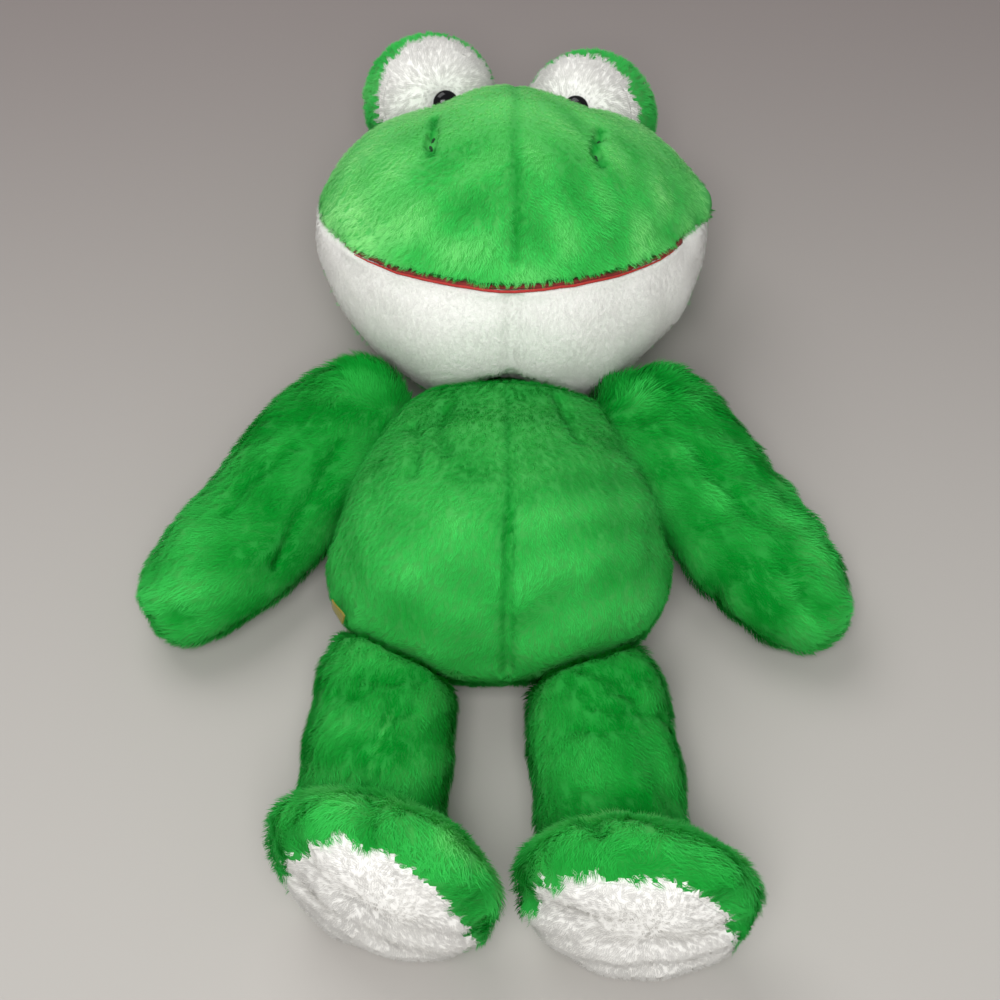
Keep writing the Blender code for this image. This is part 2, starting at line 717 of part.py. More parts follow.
def cap_cutter(name, side, offset):
    """A block on the far side of the white panel's seam plane, along the eye's axis."""
    axis = eye_axis(side)
    height = BUMP_RADIUS * math.cos(math.radians(WHITE_HALF_ANGLE_DEG)) + offset
    start = bump_centre(side) + axis * height
    return rod(name, 2 * BUMP_RADIUS, start, start + axis * 2 * BUMP_RADIUS, THIN_POINTS)


def eye_pieces(side, name):
    centre = bump_centre(side)
    axis = eye_axis(side)
    label = name + "_eye"
    skin = bump_ball("bump", side, 0.0)
    carve(skin, bump_ball("bump_inner", side, -SKIN))
    hood = skin.copy()
    hood.data = skin.data.copy()
    bpy.context.scene.collection.objects.link(hood)
    carve(hood, cap_cutter("cap", side, -GAP / 2))
    carve(skin, cap_cutter("cap", side, GAP / 2), "INTERSECT")
    hole = rod("hole", SHANK_RADIUS + SHANK_RIB + GAP, centre,
               centre + axis * (BUMP_RADIUS + OVERRUN), THIN_POINTS)
    carve(skin, hole)
    finish(hood, label + "_hood", green_pile(), "head")
    finish(skin, label + "_white", white_pile(), "head")
    finish(safety_eye(centre, axis), label, black_plastic(), "head")
    finish(lock_washer(centre, axis), label + "_washer", washer_plastic(), "head")
    fill = bump_ball("bump_fill", side, -SKIN - GAP)
    near = washer_near()
    pocket = rod("pocket", WASHER_RADIUS + GAP, centre + axis * (near - GAP),
                 centre + axis * (BUMP_RADIUS + OVERRUN), THICK_POINTS)
    carve(fill, pocket)
    tip = BUMP_RADIUS - SHANK_LENGTH - GAP
    shank_hole = rod("shank_hole", SHANK_RADIUS + SHANK_RIB + GAP, centre + axis * tip,
                     centre + axis * (near + OVERRUN), THIN_POINTS)
    carve(fill, shank_hole)
    finish(fill, label + "_stuffing", fibre_fill(), "head")


def washer_near():
    """Distance from the bump's centre to the washer's inner face: its rim just clears the white skin."""
    inner = (BUMP_RADIUS - SKIN) * bump_flat_share()
    rim = math.sqrt(inner ** 2 - WASHER_RADIUS ** 2)
    return rim - WASHER_ROOM - WASHER_THICKNESS


def turned(name, profile, place):
    """Spin an outline of (radius, height) points round the local Z axis."""
    bm = bmesh.new()
    verts = [bm.verts.new((radius, 0.0, height)) for radius, height in profile]
    edges = [bm.edges.new(pair) for pair in zip(verts, verts[1:])]
    bmesh.ops.spin(bm, geom=verts + edges, cent=(0.0, 0.0, 0.0), axis=(0.0, 0.0, 1.0),
                   angle=2 * math.pi, steps=THIN_POINTS, use_merge=True)
    bmesh.ops.remove_doubles(bm, verts=bm.verts, dist=MERGE)
    bmesh.ops.transform(bm, matrix=place, verts=bm.verts)
    return to_object(name, bm)


def axis_place(centre, axis):
    return Matrix.Translation(centre) @ axis.to_track_quat("Z", "Y").to_matrix().to_4x4()


def safety_eye(centre, axis):
    """A domed button on a ribbed shank."""
    seat = BUMP_RADIUS + GAP
    edge = EYE_HEIGHT * EYE_EDGE_SHARE
    profile = [(0.0, seat + EYE_HEIGHT)]
    for step in range(1, EYE_DOME_POINTS + 1):
        angle = math.pi / 2 * step / EYE_DOME_POINTS
        height = edge + (EYE_HEIGHT - edge) * math.cos(angle)
        profile.append((EYE_RADIUS * math.sin(angle), seat + height))
    profile.append((EYE_RADIUS * EYE_FOOT_SHARE, seat))
    profile.append((SHANK_RADIUS, seat))
    tip = BUMP_RADIUS - SHANK_LENGTH
    pitch = (seat - tip) / (SHANK_RIBS + 1)
    for rib in range(SHANK_RIBS):
        middle = seat - pitch * (rib + 1)
        profile.append((SHANK_RADIUS, middle + SHANK_RIB))
        profile.append((SHANK_RADIUS + SHANK_RIB, middle))
        profile.append((SHANK_RADIUS, middle - SHANK_RIB))
    profile.append((SHANK_RADIUS, tip + SHANK_RIB))
    profile.append((SHANK_RADIUS - SHANK_RIB, tip))
    profile.append((0.0, tip))
    return turned("eye", profile, axis_place(centre, axis))


def lock_washer(centre, axis):
    near = washer_near()
    hole = SHANK_RADIUS + SHANK_RIB + GAP
    far = near + WASHER_THICKNESS
    profile = [(hole, near), (WASHER_RADIUS, near), (WASHER_RADIUS, far), (hole, far), (hole, near)]
    return turned("washer", profile, axis_place(centre, axis))


def nostril_stitch(side, name, tree):
    """A row of thread drawn down the snout, lying on the cloth."""
    curve = bpy.data.curves.new(name, "CURVE")
    curve.dimensions = "3D"
    curve.bevel_depth = THREAD_RADIUS
    curve.bevel_resolution = 1
    curve.use_fill_caps = True
    line = curve.splines.new("POLY")
    line.points.add(NOSTRIL_STEPS)
    x = FACE_X + side * NOSTRIL_SPACING / 2
    above = 2 * (HEAD_FRONT + HEAD_BACK)
    for step in range(NOSTRIL_STEPS + 1):
        y = NOSTRIL_Y + NOSTRIL_LENGTH * (step / NOSTRIL_STEPS - 1 / 2)
        spot, normal, _, _ = tree.ray_cast(Vector((x, y, above)), Vector((0.0, 0.0, -1.0)))
        line.points[step].co = (*(spot + normal * (THREAD_RADIUS + THREAD_LIFT)), 1.0)
    shaped = bpy.data.objects.new(name + "_curve", curve)
    bpy.context.scene.collection.objects.link(shaped)
    bpy.context.view_layer.update()
    graph = bpy.context.evaluated_depsgraph_get()
    mesh = bpy.data.meshes.new_from_object(shaped.evaluated_get(graph))
    bpy.data.objects.remove(shaped, do_unlink=True)
    bm = bmesh.new()
    bm.from_mesh(mesh)
    bmesh.ops.remove_doubles(bm, verts=bm.verts, dist=MERGE)
    finish(to_object(name, bm), name, green_thread(), "head")


def surface_tree(piece):
    bm = bmesh.new()
    bm.from_mesh(piece.data)
    tree = BVHTree.FromBMesh(bm)
    bm.free()
    return tree


def nostril_pieces():
    form = head_swell(0.0)
    tree = surface_tree(form)
    nostril_stitch(1, "left_nostril_stitch", tree)
    nostril_stitch(-1, "right_nostril_stitch", tree)
    bpy.data.objects.remove(form, do_unlink=True)


def arm_pieces(side, name):
    joint = shoulder(side)
    place = hinge_place(joint)
    half_length = ARM_OPENING_LENGTH / 2
    half_height = ARM_OPENING_HEIGHT / 2
    deep = SHOULDER_NOSE + OVERRUN
    outline = [(-deep, -half_height), (0.0, -half_height), (0.0, half_height), (-deep, half_height)]
    opening = prism("arm_opening", outline, half_length, place)
    skin = skin_from(arm_form(side, 0.0), arm_form(side, SKIN), opening)
    finish(skin, name + "_arm_skin", green_pile(), name + "_arm")
    finish(arm_form(side, SKIN + GAP), name + "_arm_stuffing", fibre_fill(), name + "_arm")


def leg_pieces(side, name):
    joint = ankle(side)
    inner = joint.point - joint.outward * ANKLE_NOSE
    outer = joint.point + joint.outward * (ANKLE_NOSE + OVERRUN)
    opening = rod("leg_opening", LEG_OPENING_RADIUS, inner, outer, THICK_POINTS)
    skin = skin_from(leg_form(side, 0.0), leg_form(side, SKIN), opening)
    finish(skin, name + "_leg_skin", green_pile(), name + "_leg")
    finish(leg_form(side, SKIN + GAP), name + "_leg_stuffing", fibre_fill(), name + "_leg")


def sole_block(side, offset):
    """A block that takes in the sole panel: the foot's face away from the leg."""
    near = FOOT_SOLE_DEPTH - SOLE_PANEL_DEPTH + offset
    far = FOOT_SOLE_DEPTH + 2 * OVERRUN
    toe = FOOT_LENGTH + OVERRUN
    outline = [(-OVERRUN, near), (toe, near), (toe, far), (-OVERRUN, far)]
    return prism("sole_block", outline, FOOT_HALF_WIDTH + OVERRUN, foot_place(side))


def foot_pieces(side, name):
    joint = ankle(side)
    opening = rod("foot_opening", FOOT_OPENING_RADIUS, joint.point,
                  joint.point + joint.outward * (ANKLE_NOSE + SKIN + OVERRUN), THICK_POINTS)
    upper = skin_from(foot_form(side, 0.0), foot_form(side, SKIN), opening)
    sole = upper.copy()
    sole.data = upper.data.copy()
    bpy.context.scene.collection.objects.link(sole)
    carve(upper, sole_block(side, -GAP / 2))
    carve(sole, sole_block(side, GAP / 2), "INTERSECT")
    finish(upper, name + "_foot_upper", green_pile(), name + "_foot")
    finish(sole, name + "_foot_sole", white_pile(), name + "_foot")
    finish(foot_form(side, SKIN + GAP), name + "_foot_stuffing", fibre_fill(), name + "_foot")


def side_tag():
    """A bare satin tab standing out of the right hip seam, just off the torso's cloth."""
    form = swell("torso_cut", TORSO, TORSO_PLACE)
    tree = surface_tree(form)
    bpy.data.objects.remove(form, do_unlink=True)
    start = Vector((-2 * TORSO_HALF_WIDTH, TORSO_BOTTOM_Y + TAG_RISE, TAG_Z))
    spot, normal, _, _ = tree.ray_cast(start, Vector((1.0, 0.0, 0.0)))
    bm = bmesh.new()
    bmesh.ops.create_cube(bm, size=1.0)
    bmesh.ops.scale(bm, vec=(TAG_WIDTH, TAG_LENGTH, TAG_THICKNESS), verts=bm.verts)
    middle = spot + normal * (TAG_ROOM + TAG_THICKNESS / 2)
    bmesh.ops.transform(bm, matrix=axis_place(middle, normal), verts=bm.verts)
    finish(to_object("tag", bm), "side_tag", gold_satin(), None)


def joint_empties():
    """One empty on each joint, which the pieces of its body hang from."""
    spots = {"head": NECK_PIVOT}
    for side, name in ((1, "left"), (-1, "right")):
        spots[name + "_arm"] = shoulder(side).point
        spots[name + "_leg"] = hip(side).point
        spots[name + "_foot"] = ankle(side).point
    made = {}
    for body, spot in spots.items():
        empty = bpy.data.objects.new(body + "_joint", None)
        empty.location = spot
        bpy.context.scene.collection.objects.link(empty)
        made[body] = empty
    return made


def finish(piece, name, look, body):
    """Name the piece, give it its material and hang it from its joint."""
    piece.name = name
    piece.data.name = name
    piece.data.materials.clear()
    piece.data.materials.append(look)
    if body is not None:
        joint = JOINTS[body]
        piece.data.transform(Matrix.Translation(-joint.location))
        piece.parent = joint
    piece.data.shade_smooth()
    piece.data.set_sharp_from_angle(angle=math.radians(SHARP_EDGE_DEG))
    return piece


def centre_on_floor():
    """Shift everything so that the origin lies under the middle of the whole toy, on the floor."""
    pieces = [item for item in bpy.data.objects if item.type == "MESH"]
    bpy.context.view_layer.update()
    corners = [piece.matrix_world @ vert.co for piece in pieces for vert in piece.data.vertices]
    low = [min(corner[axis] for corner in corners) for axis in range(3)]
    high = [max(corner[axis] for corner in corners) for axis in range(3)]
    shift = Vector((-(low[0] + high[0]) / 2, -(low[1] + high[1]) / 2, -low[2]))
    for joint in JOINTS.values():
        joint.location += shift
    for piece in pieces:
        if piece.parent is None:
            piece.data.transform(Matrix.Translation(shift))


clear_scene()
JOINTS = joint_empties()
torso_pieces()
head_pieces()
nostril_pieces()
side_tag()
for SIDE, NAME in ((1, "left"), (-1, "right")):
    eye_pieces(SIDE, NAME)
    arm_pieces(SIDE, NAME)
    leg_pieces(SIDE, NAME)
    foot_pieces(SIDE, NAME)
centre_on_floor()
bpy.context.view_layer.update()
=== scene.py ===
# %% [markdown]
# # A plush frog
# The toy is a set of sewn and stuffed cloth forms with a long pile, two black plastic eyes and a red
# mouth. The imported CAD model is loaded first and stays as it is. Every soft piece made here takes the
# place of the CAD node it stands for, and rides on the same body, so the limbs still turn.

# %% Load the frame
import math

import bmesh
import bpy
import numpy as np
from mathutils import Matrix, Vector
from mathutils.bvhtree import BVHTree
from mathutils.kdtree import KDTree


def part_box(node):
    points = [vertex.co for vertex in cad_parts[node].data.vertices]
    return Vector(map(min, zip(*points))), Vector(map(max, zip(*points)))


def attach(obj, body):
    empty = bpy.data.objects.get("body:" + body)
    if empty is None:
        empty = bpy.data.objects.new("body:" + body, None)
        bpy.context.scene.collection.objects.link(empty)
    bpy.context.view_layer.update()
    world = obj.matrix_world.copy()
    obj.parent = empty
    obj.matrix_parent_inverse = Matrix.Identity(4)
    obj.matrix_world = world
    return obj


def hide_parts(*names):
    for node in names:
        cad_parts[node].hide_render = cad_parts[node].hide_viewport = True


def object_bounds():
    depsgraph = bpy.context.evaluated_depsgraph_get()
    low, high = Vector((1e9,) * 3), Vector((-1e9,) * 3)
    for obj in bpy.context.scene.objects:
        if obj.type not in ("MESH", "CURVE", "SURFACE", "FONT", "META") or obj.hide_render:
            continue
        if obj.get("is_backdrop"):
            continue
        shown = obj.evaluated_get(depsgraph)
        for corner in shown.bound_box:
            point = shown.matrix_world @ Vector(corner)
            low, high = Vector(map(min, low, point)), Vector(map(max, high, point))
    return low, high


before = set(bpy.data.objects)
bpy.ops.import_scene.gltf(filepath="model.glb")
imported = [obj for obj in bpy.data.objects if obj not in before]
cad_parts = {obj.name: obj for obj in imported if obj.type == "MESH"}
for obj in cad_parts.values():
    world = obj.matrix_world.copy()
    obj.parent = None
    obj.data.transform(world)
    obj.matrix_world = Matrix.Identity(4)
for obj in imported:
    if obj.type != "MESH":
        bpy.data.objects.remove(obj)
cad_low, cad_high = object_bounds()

MM = 0.001
SIDES = (("left", 1), ("right", -1))     # the toy's own sides, and the way each lies along X
print("CAD box in mm:", [round(side / MM, 1) for side in cad_high - cad_low])

# %% [markdown]
# ## Camera
# The photograph looks down at the toy from beyond its feet, at a steep angle. The camera could be turned
# by hand, but aiming it at a point under the belly keeps the numbers readable.

# %% Make the camera
MIDDLE_X = 0.001812      # the CAD was moved by these two to centre its box
MIDDLE_Y = -0.028009
EYE_POINT = Vector((MIDDLE_X, MIDDLE_Y - 0.4357, 0.713))
AIM_POINT = Vector((MIDDLE_X, MIDDLE_Y, 0.042))
LENS = 68.83             # millimetres on a sensor 36 mm wide


def add_object(name, data):
    """A new object in the scene's own collection."""
    made = bpy.data.objects.new(name, data)
    bpy.context.scene.collection.objects.link(made)
    return made


def aimed(item, place, target):
    """Put the camera or a lamp at a place, facing a target."""
    item.location = place
    item.rotation_mode = "QUATERNION"
    item.rotation_quaternion = (Vector(target) - Vector(place)).to_track_quat("-Z", "Y")
    return item


camera_data = bpy.data.cameras.new("camera")
camera_data.lens = LENS
camera_data.sensor_width = 36.0
bpy.context.scene.camera = aimed(add_object("camera", camera_data), EYE_POINT, AIM_POINT)
bpy.context.scene.view_settings.view_transform = "Standard"
print("camera", round((AIM_POINT - EYE_POINT).length / MM), "mm from the belly")

# %% [markdown]
# ## Nodes
# Materials and planted pile are both trees of nodes. They could be laid out by hand in Blender's editors.
# In code, one line makes a node with its settings, and each of its inputs takes a value or another
# node's output.

# %% Helpers for nodes
def feed(tree, node, inputs):
    """Give inputs their values, and link those whose value is another node's output."""
    for socket, value in inputs.items():
        if isinstance(value, bpy.types.NodeSocket):
            tree.links.new(value, node.inputs[socket])
        else:
            node.inputs[socket].default_value = value
    return node


def add_node(tree, kind, inputs=None, **settings):
    node = tree.nodes.new(kind)
    for setting, value in settings.items():
        setattr(node, setting, value)
    return feed(tree, node, inputs or {})


def node_material(name):
    """A new material with its tree and its shader."""
    made = bpy.data.materials.new(name)
    made.use_nodes = True
    return made, made.node_tree, made.node_tree.nodes["Principled BSDF"]


def rgba(red, green, blue):
    return (red, green, blue, 1.0)


def mix_colour(tree, factor, first, second):
    """A mix of two colours. Each may be a value or a node's output, and so may the factor."""
    inputs = {0: factor, 6: first, 7: second}
    return add_node(tree, "ShaderNodeMix", inputs, data_type="RGBA").outputs[2]


def object_place(tree):
    """Object coordinates, which stay with a piece when its body turns."""
    return add_node(tree, "ShaderNodeTexCoord").outputs["Object"]

# %% [markdown]
# ## Floor
# A plain pale sheet, darkening towards the back with painted shade for the light's falloff. The lamps that
# come next are kept low enough that the white pile keeps its shading, so the floor's paleness comes from
# its own colour.

# %% Lay the floor
FLOOR_SIZE = 6.0
FLOOR_NEAR = -0.25       # the sheet is palest this far towards the camera, and fades to a deeper grey of painted shade
FLOOR_FAR = 0.45
FLOOR_PALE = rgba(0.42, 0.40, 0.375)
FLOOR_SHADE = rgba(0.20, 0.172, 0.166)


def new_mesh(name, bm):
    """Write a bmesh into a new mesh, and free it."""
    mesh = bpy.data.meshes.new(name)
    bm.to_mesh(mesh)
    bm.free()
    return mesh


def bm_object(name, bm):
    return add_object(name, new_mesh(name, bm))


sheet = bmesh.new()
bmesh.ops.create_grid(sheet, x_segments=1, y_segments=1, size=FLOOR_SIZE / 2)
floor = bm_object("floor", sheet)
pale_floor, tree, shader = node_material("pale_floor")
axes = add_node(tree, "ShaderNodeSeparateXYZ", {0: object_place(tree)})
# painted shade: the sheet darkens towards the back, standing in for the light's falloff
painted_falloff = add_node(tree, "ShaderNodeMapRange", {"Value": axes.outputs["Y"], "From Min": FLOOR_NEAR,
                                             "From Max": FLOOR_FAR}, interpolation_type="SMOOTHSTEP")
floor_colour = mix_colour(tree, painted_falloff.outputs["Result"], FLOOR_PALE, FLOOR_SHADE)
feed(tree, shader, {"Base Color": floor_colour, "Roughness": 0.9})
floor.data.materials.append(pale_floor)
floor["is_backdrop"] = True

# %% [markdown]
# ## Lamps
# Three square lamps and an even grey world. Large lamps give the shadows soft edges.

# %% Hang the lamps
LAMPS = (                # name, place, target, size in metres and power in watts
    ("key", (-0.40, 0.50, 1.20), (0.0, 0.0, 0.03), 0.9, 8.5),
    ("front", (-0.05, -0.85, 1.30), (0.0, -0.05, 0.03), 0.7, 17.0),
    ("low_front", (-0.10, -1.20, 0.40), (0.0, -0.10, 0.05), 0.6, 2.0),
)
WORLD_STRENGTH = 0.30

for name, place, target, size, power in LAMPS:
    lamp = bpy.data.lights.new(name, "AREA")
    lamp.size = size
    lamp.energy = power
    aimed(add_object(name, lamp), place, target)
world = bpy.data.worlds.new("studio")
world.use_nodes = True
feed(world.node_tree, world.node_tree.nodes["Background"],
     {"Color": rgba(1.0, 1.0, 1.0), "Strength": WORLD_STRENGTH})
bpy.context.scene.world = world
print("lamps", [name for name, *_ in LAMPS])

# %% [markdown]
# ## Reading and moving meshes
# All soft shaping here moves vertices along their normals. Sculpting brushes do that too, but with the
# vertices as rows of numbers each dent has a place and a depth that can be read.

# %% Helpers for meshes
def opened(mesh):
    """A bmesh with a copy of a mesh in it."""
    bm = bmesh.new()
    bm.from_mesh(mesh)
    return bm


def evaluated_mesh(item):
    """The mesh that an object's modifiers, or its curve, come to."""
    bpy.context.view_layer.update()
    return bpy.data.meshes.new_from_object(item.evaluated_get(bpy.context.evaluated_depsgraph_get()))


def applied(item):
    """Bake the object's modifiers into its mesh."""
    mesh = evaluated_mesh(item)
    item.modifiers.clear()
    item.data = mesh
    return item


def vectors(values, key):
    """A list of vectors as rows of numbers."""
    flat = np.empty(len(values) * 3, np.float32)
    values.foreach_get(key, flat)
    return flat.reshape(-1, 3).astype(float)


def coordinates(mesh):
    return vectors(mesh.vertices, "co")


def normals(mesh):
    return vectors(mesh.vertex_normals, "vector")


def set_coordinates(item, points):
    item.data.vertices.foreach_set("co", points.astype(np.float32).ravel())
    item.data.update()
    return item


def push(item, distance):
    """Move the cloth out along its normals, by one distance or by one for each vertex."""
    return set_coordinates(item, coordinates(item.data) + normals(item.data) * distance)

# %% [markdown]
# ## From CAD solid to stuffed cloth
# Each CAD body holds a wad of stuffing that fills its skin. A copy of it, remeshed into small even faces
# and relaxed, is a smooth stuffed form a few millimetres inside the outline of the pile. Subdividing the
# CAD mesh would keep its facets, and building every form anew could leave the CAD's own places. At the
# end each form swells a little, by an uneven amount, because no toy is stuffed quite evenly.

# %% Stuff the forms
VOXEL = 2.0 * MM
ROUNDS = 20
SWELL = 1.6 * MM         # the stuffing lies 2.8 mm inside the pile's outline, and the cloth between the two
LUMPS = {                # how wide the lumps in each kind of form are, and how deep, in millimetres
    "torso": (34, 0.9), "head": (40, 0.5), "arm": (24, 1.3), "leg": (22, 1.0), "foot": (20, 0.8),
    "bump": (30, 0.0),
}


def node_mesh(node):
    """A copy of a CAD node's mesh, at rest in the row frame."""
    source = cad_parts[node]
    mesh = source.data.copy()
    mesh.transform(source.matrix_world)
    return mesh


def from_node(name, *nodes):
    """One merged object from the meshes of some CAD nodes."""
    bm = bmesh.new()
    for node in nodes:
        bm.from_mesh(node_mesh(node))
    bmesh.ops.remove_doubles(bm, verts=bm.verts, dist=0.001 * MM)
    return bm_object(name, bm)


def relax(item, voxel, rounds):
    """Even faces by a voxel remesh, then smoothed."""
    even = item.modifiers.new("even", "REMESH")
    even.mode = "VOXEL"
    even.voxel_size = voxel
    calm = item.modifiers.new("calm", "SMOOTH")
    calm.factor = 0.5
    calm.iterations = rounds
    return applied(item)


def waves(points, size, seed):
    """Smooth random vectors that vary over about this size, from a few crossing waves."""
    chance = np.random.default_rng(seed)
    total = np.zeros_like(points)
    for _ in range(6):
        direction = chance.normal(size=3)
        direction *= 2 * math.pi / (size * np.linalg.norm(direction) * chance.uniform(0.7, 1.4))
        phase = chance.uniform(0, 2 * math.pi, 3)
        total += np.sin((points @ direction)[:, None] + phase) * chance.normal(size=3)
    return total / 3


stuffing = {name: (name + "_stuffing",) for name in (
    "torso", "left_arm", "right_arm", "left_leg", "right_leg", "left_foot", "right_foot")}
stuffing["head"] = ("head_stuffing", "mouth_lining")
for side, _ in SIDES:
    stuffing[side + "_bump"] = (side + "_eye_stuffing",)
forms = {}
for number, (name, nodes) in enumerate(stuffing.items()):
    item = push(relax(from_node(name, *nodes), VOXEL, ROUNDS), SWELL)
    size, depth = LUMPS[name.split("_")[-1]]
    push(item, waves(coordinates(item.data), size * MM, 200 + number)[:, :1] * (depth * MM))
    forms[name] = item
    bm = opened(item.data)
    print(name, len(bm.faces), "faces", round(bm.calc_volume() / MM ** 3 / 1000, 1), "cm3")
    bm.free()

# %% [markdown]
# ## Where the forms are sewn together
# Two panels that meet along a flat seam, such as an eye's white and its hood, share one stuffed form. The
# seam's plane is read off the CAD: it goes through the corners that both panels have in common.

# %% Find the planes of the seams
def tree_of(mesh):
    """A search tree of a mesh's faces."""
    bm = opened(mesh)
    tree = BVHTree.FromBMesh(bm)
    bm.free()
    return tree


def node_points(node):
    return coordinates(node_mesh(node))


def seam_plane(inner, outer):
    """A point on the seam between two nodes, and the seam's direction towards the second."""
    tree = tree_of(node_mesh(outer))
    shared = np.array([p for p in node_points(inner) if tree.find_nearest(Vector(p))[3] < 0.5 * MM])
    middle = shared.mean(axis=0)
    direction = np.linalg.svd(shared - middle)[2][2]
    if (node_points(outer).mean(axis=0) - middle) @ direction < 0:
        direction = -direction
    return Vector(middle), Vector(direction)


seams = {}
for side, _ in SIDES:
    seams[side + "_bump"] = seam_plane(side + "_eye_hood", side + "_eye_white")
    seams[side + "_foot"] = seam_plane(side + "_foot_upper", side + "_foot_sole")
for name, (spot, direction) in seams.items():
    print(name, [round(v / MM, 1) for v in spot], [round(v, 3) for v in direction])

# %% [markdown]
# ## The mouth
# The head is cut along the mouth's plane and along a seam under the jaw, so that the green head and the
# white jaw are two forms. Each is remeshed once more, which rolls its cut edge over as turned cloth does.
# Then the lips are eased apart in the middle, where the red lining shows.

# %% Cut the jaw from the head
FACE_X = MIDDLE_X + 0.006        # the middle of the face, a little to the toy's left
MOUTH_APEX = Vector((FACE_X, MIDDLE_Y + 0.153, 0.062))
MOUTH_LIP = Vector((FACE_X, MIDDLE_Y + 0.061, 0.104))
JAW_NAPE = Vector((FACE_X, MIDDLE_Y + 0.056, 0.012))
LIP_GAP = 0.3 * MM
LIP_VOXEL = 1.6 * MM
LIP_ROUNDS = 5
BLOCK_REACH = 0.3                # the cutting block only has to be larger than the head
BLOCK_HALF_WIDTH = 0.12

lip_way = (MOUTH_LIP - MOUTH_APEX).normalized()
nape_way = (JAW_NAPE - MOUTH_APEX).normalized()
mouth_up = Vector((1.0, 0.0, 0.0)).cross(lip_way)
mouth_up *= math.copysign(1.0, mouth_up.z)


def jaw_block(offset):
    """A wedge that takes in the jaw, less the offset, as an extruded triangle."""
    inward = (lip_way + nape_way).normalized()
    start = MOUTH_APEX + inward * (offset / math.sin(lip_way.angle(nape_way) / 2))
    bm = bmesh.new()
    corners = [start, start + lip_way * BLOCK_REACH, start + nape_way * BLOCK_REACH]
    face = bm.faces.new([bm.verts.new(c - Vector((BLOCK_HALF_WIDTH, 0.0, 0.0))) for c in corners])
    moved = bmesh.ops.extrude_face_region(bm, geom=[face])["geom"]
    far_side = [item for item in moved if isinstance(item, bmesh.types.BMVert)]
    bmesh.ops.translate(bm, vec=(2 * BLOCK_HALF_WIDTH, 0.0, 0.0), verts=far_side)
    bmesh.ops.recalc_face_normals(bm, faces=bm.faces)
    return bm_object("block", bm)


def part_of_head(name, offset, operation):
    """A copy of the head cut by the block, with its edges rolled over."""
    item = add_object(name, whole_head.data.copy())
    block = jaw_block(offset)
    step = item.modifiers.new("cut", "BOOLEAN")
    step.object = block
    step.operation = operation
    step.solver = "EXACT"
    applied(item)
    bpy.data.objects.remove(block, do_unlink=True)
    return relax(item, LIP_VOXEL, LIP_ROUNDS)


whole_head = forms.pop("head")
forms["jaw"] = part_of_head("jaw", LIP_GAP / 2, "INTERSECT")
forms["head_upper"] = part_of_head("head_upper", -LIP_GAP / 2, "DIFFERENCE")
print("jaw", len(forms["jaw"].data.polygons), "head", len(forms["head_upper"].data.polygons), "faces")

# %% [markdown]
# ## The lips
# The lips part by a millimetre in the middle of the mouth and stay shut at its corners. Scaling the mouth
# open would also move the cheeks, so only the cloth near the mouth's plane is moved. The line where that
# plane meets the head is kept, for the pile and for the red lip.

# %% Ease the lips apart
MOUTH_HALF_WIDTH = 0.074
MOUTH_POINTS = 25
LIP_OPENING = 1.0 * MM
LIP_FALLOFF = 9 * MM


def smoothstep(low, high, value):
    t = np.clip((value - low) / (high - low), 0.0, 1.0)
    return t * t * (3 - 2 * t)


def open_share(across):
    """1 in the middle of the mouth, 0 at its corners."""
    return 1 - smoothstep(0.75, 1.05, across)


def ease_lips(item, way):
    """Move the cloth near the mouth's plane away from it."""
    points = coordinates(item.data)
    height = (points - np.array(MOUTH_APEX)) @ np.array(mouth_up)
    ahead = (points - np.array(MOUTH_APEX)) @ np.array(lip_way)
    share = open_share(np.abs(points[:, 0] - FACE_X) / MOUTH_HALF_WIDTH)
    share *= 1 - smoothstep(0.0, LIP_FALLOFF, np.abs(height))
    share *= smoothstep(5 * MM, 20 * MM, ahead)
    set_coordinates(item, points + np.outer(share * way * LIP_OPENING, np.array(mouth_up)))


def surface_of(item):
    """A search tree of an object's surface as it is now."""
    return BVHTree.FromObject(item, bpy.context.evaluated_depsgraph_get())


def mouth_edge():
    """Points where the mouth's plane meets the outside of the whole head, from right to left."""
    tree = surface_of(whole_head)
    found = []
    for step in range(MOUTH_POINTS):
        x = MOUTH_HALF_WIDTH * (2 * step / (MOUTH_POINTS - 1) - 1)
        start = MOUTH_APEX + Vector((x, 0.0, 0.0)) + lip_way * BLOCK_REACH
        found.append(tree.ray_cast(start, -lip_way)[0])
    return [spot for spot in found if spot is not None]


ease_lips(forms["jaw"], -1)
ease_lips(forms["head_upper"], 1)
mouth_line = mouth_edge()
print("mouth line", len(mouth_line), "points")

# %% [markdown]
# ## Seams, folds and dents
# A seam pulls the cloth in along a line. Each one here is a short path laid over the toy, and the cloth
# near it sinks by a smooth hollow, so that the line shows in the shape and not only in the colour. The
# same path later makes the pile shorter over the seam. Places are in millimetres from the CAD's own
# middle. They only have to lie over the toy, because each is dropped onto the form.

# %% Helpers for pressing
ABOVE, BELOW = (0.0, 0.0, 1.0), (0.0, 0.0, -1.0)
DROP = 0.2               # places are dropped from this far off
creases = {}             # the paths pressed into each form, with their widths


def segment_distance(points, start, end):
    """Distance of each point from a straight line between two places."""
    start, end = np.array(start, float), np.array(end, float)
    along = end - start
    share = np.clip(((points - start) @ along) / max(along @ along, 1e-12), 0.0, 1.0)
    return np.linalg.norm(points - start - share[:, None] * along, axis=1)


def near_path(points, path, width):
    """1 on a path of short lines, fading to 0 at about twice the width."""
    distance = np.min([segment_distance(points, a, b) for a, b in zip(path, path[1:])], axis=0)
    return np.exp(-(distance / width) ** 2)


def shifted(*places):
    """Places in millimetres from the CAD's own middle, as points of the row frame."""
    return [Vector((MIDDLE_X + x * MM, MIDDLE_Y + y * MM, z * MM)) for x, y, z in places]


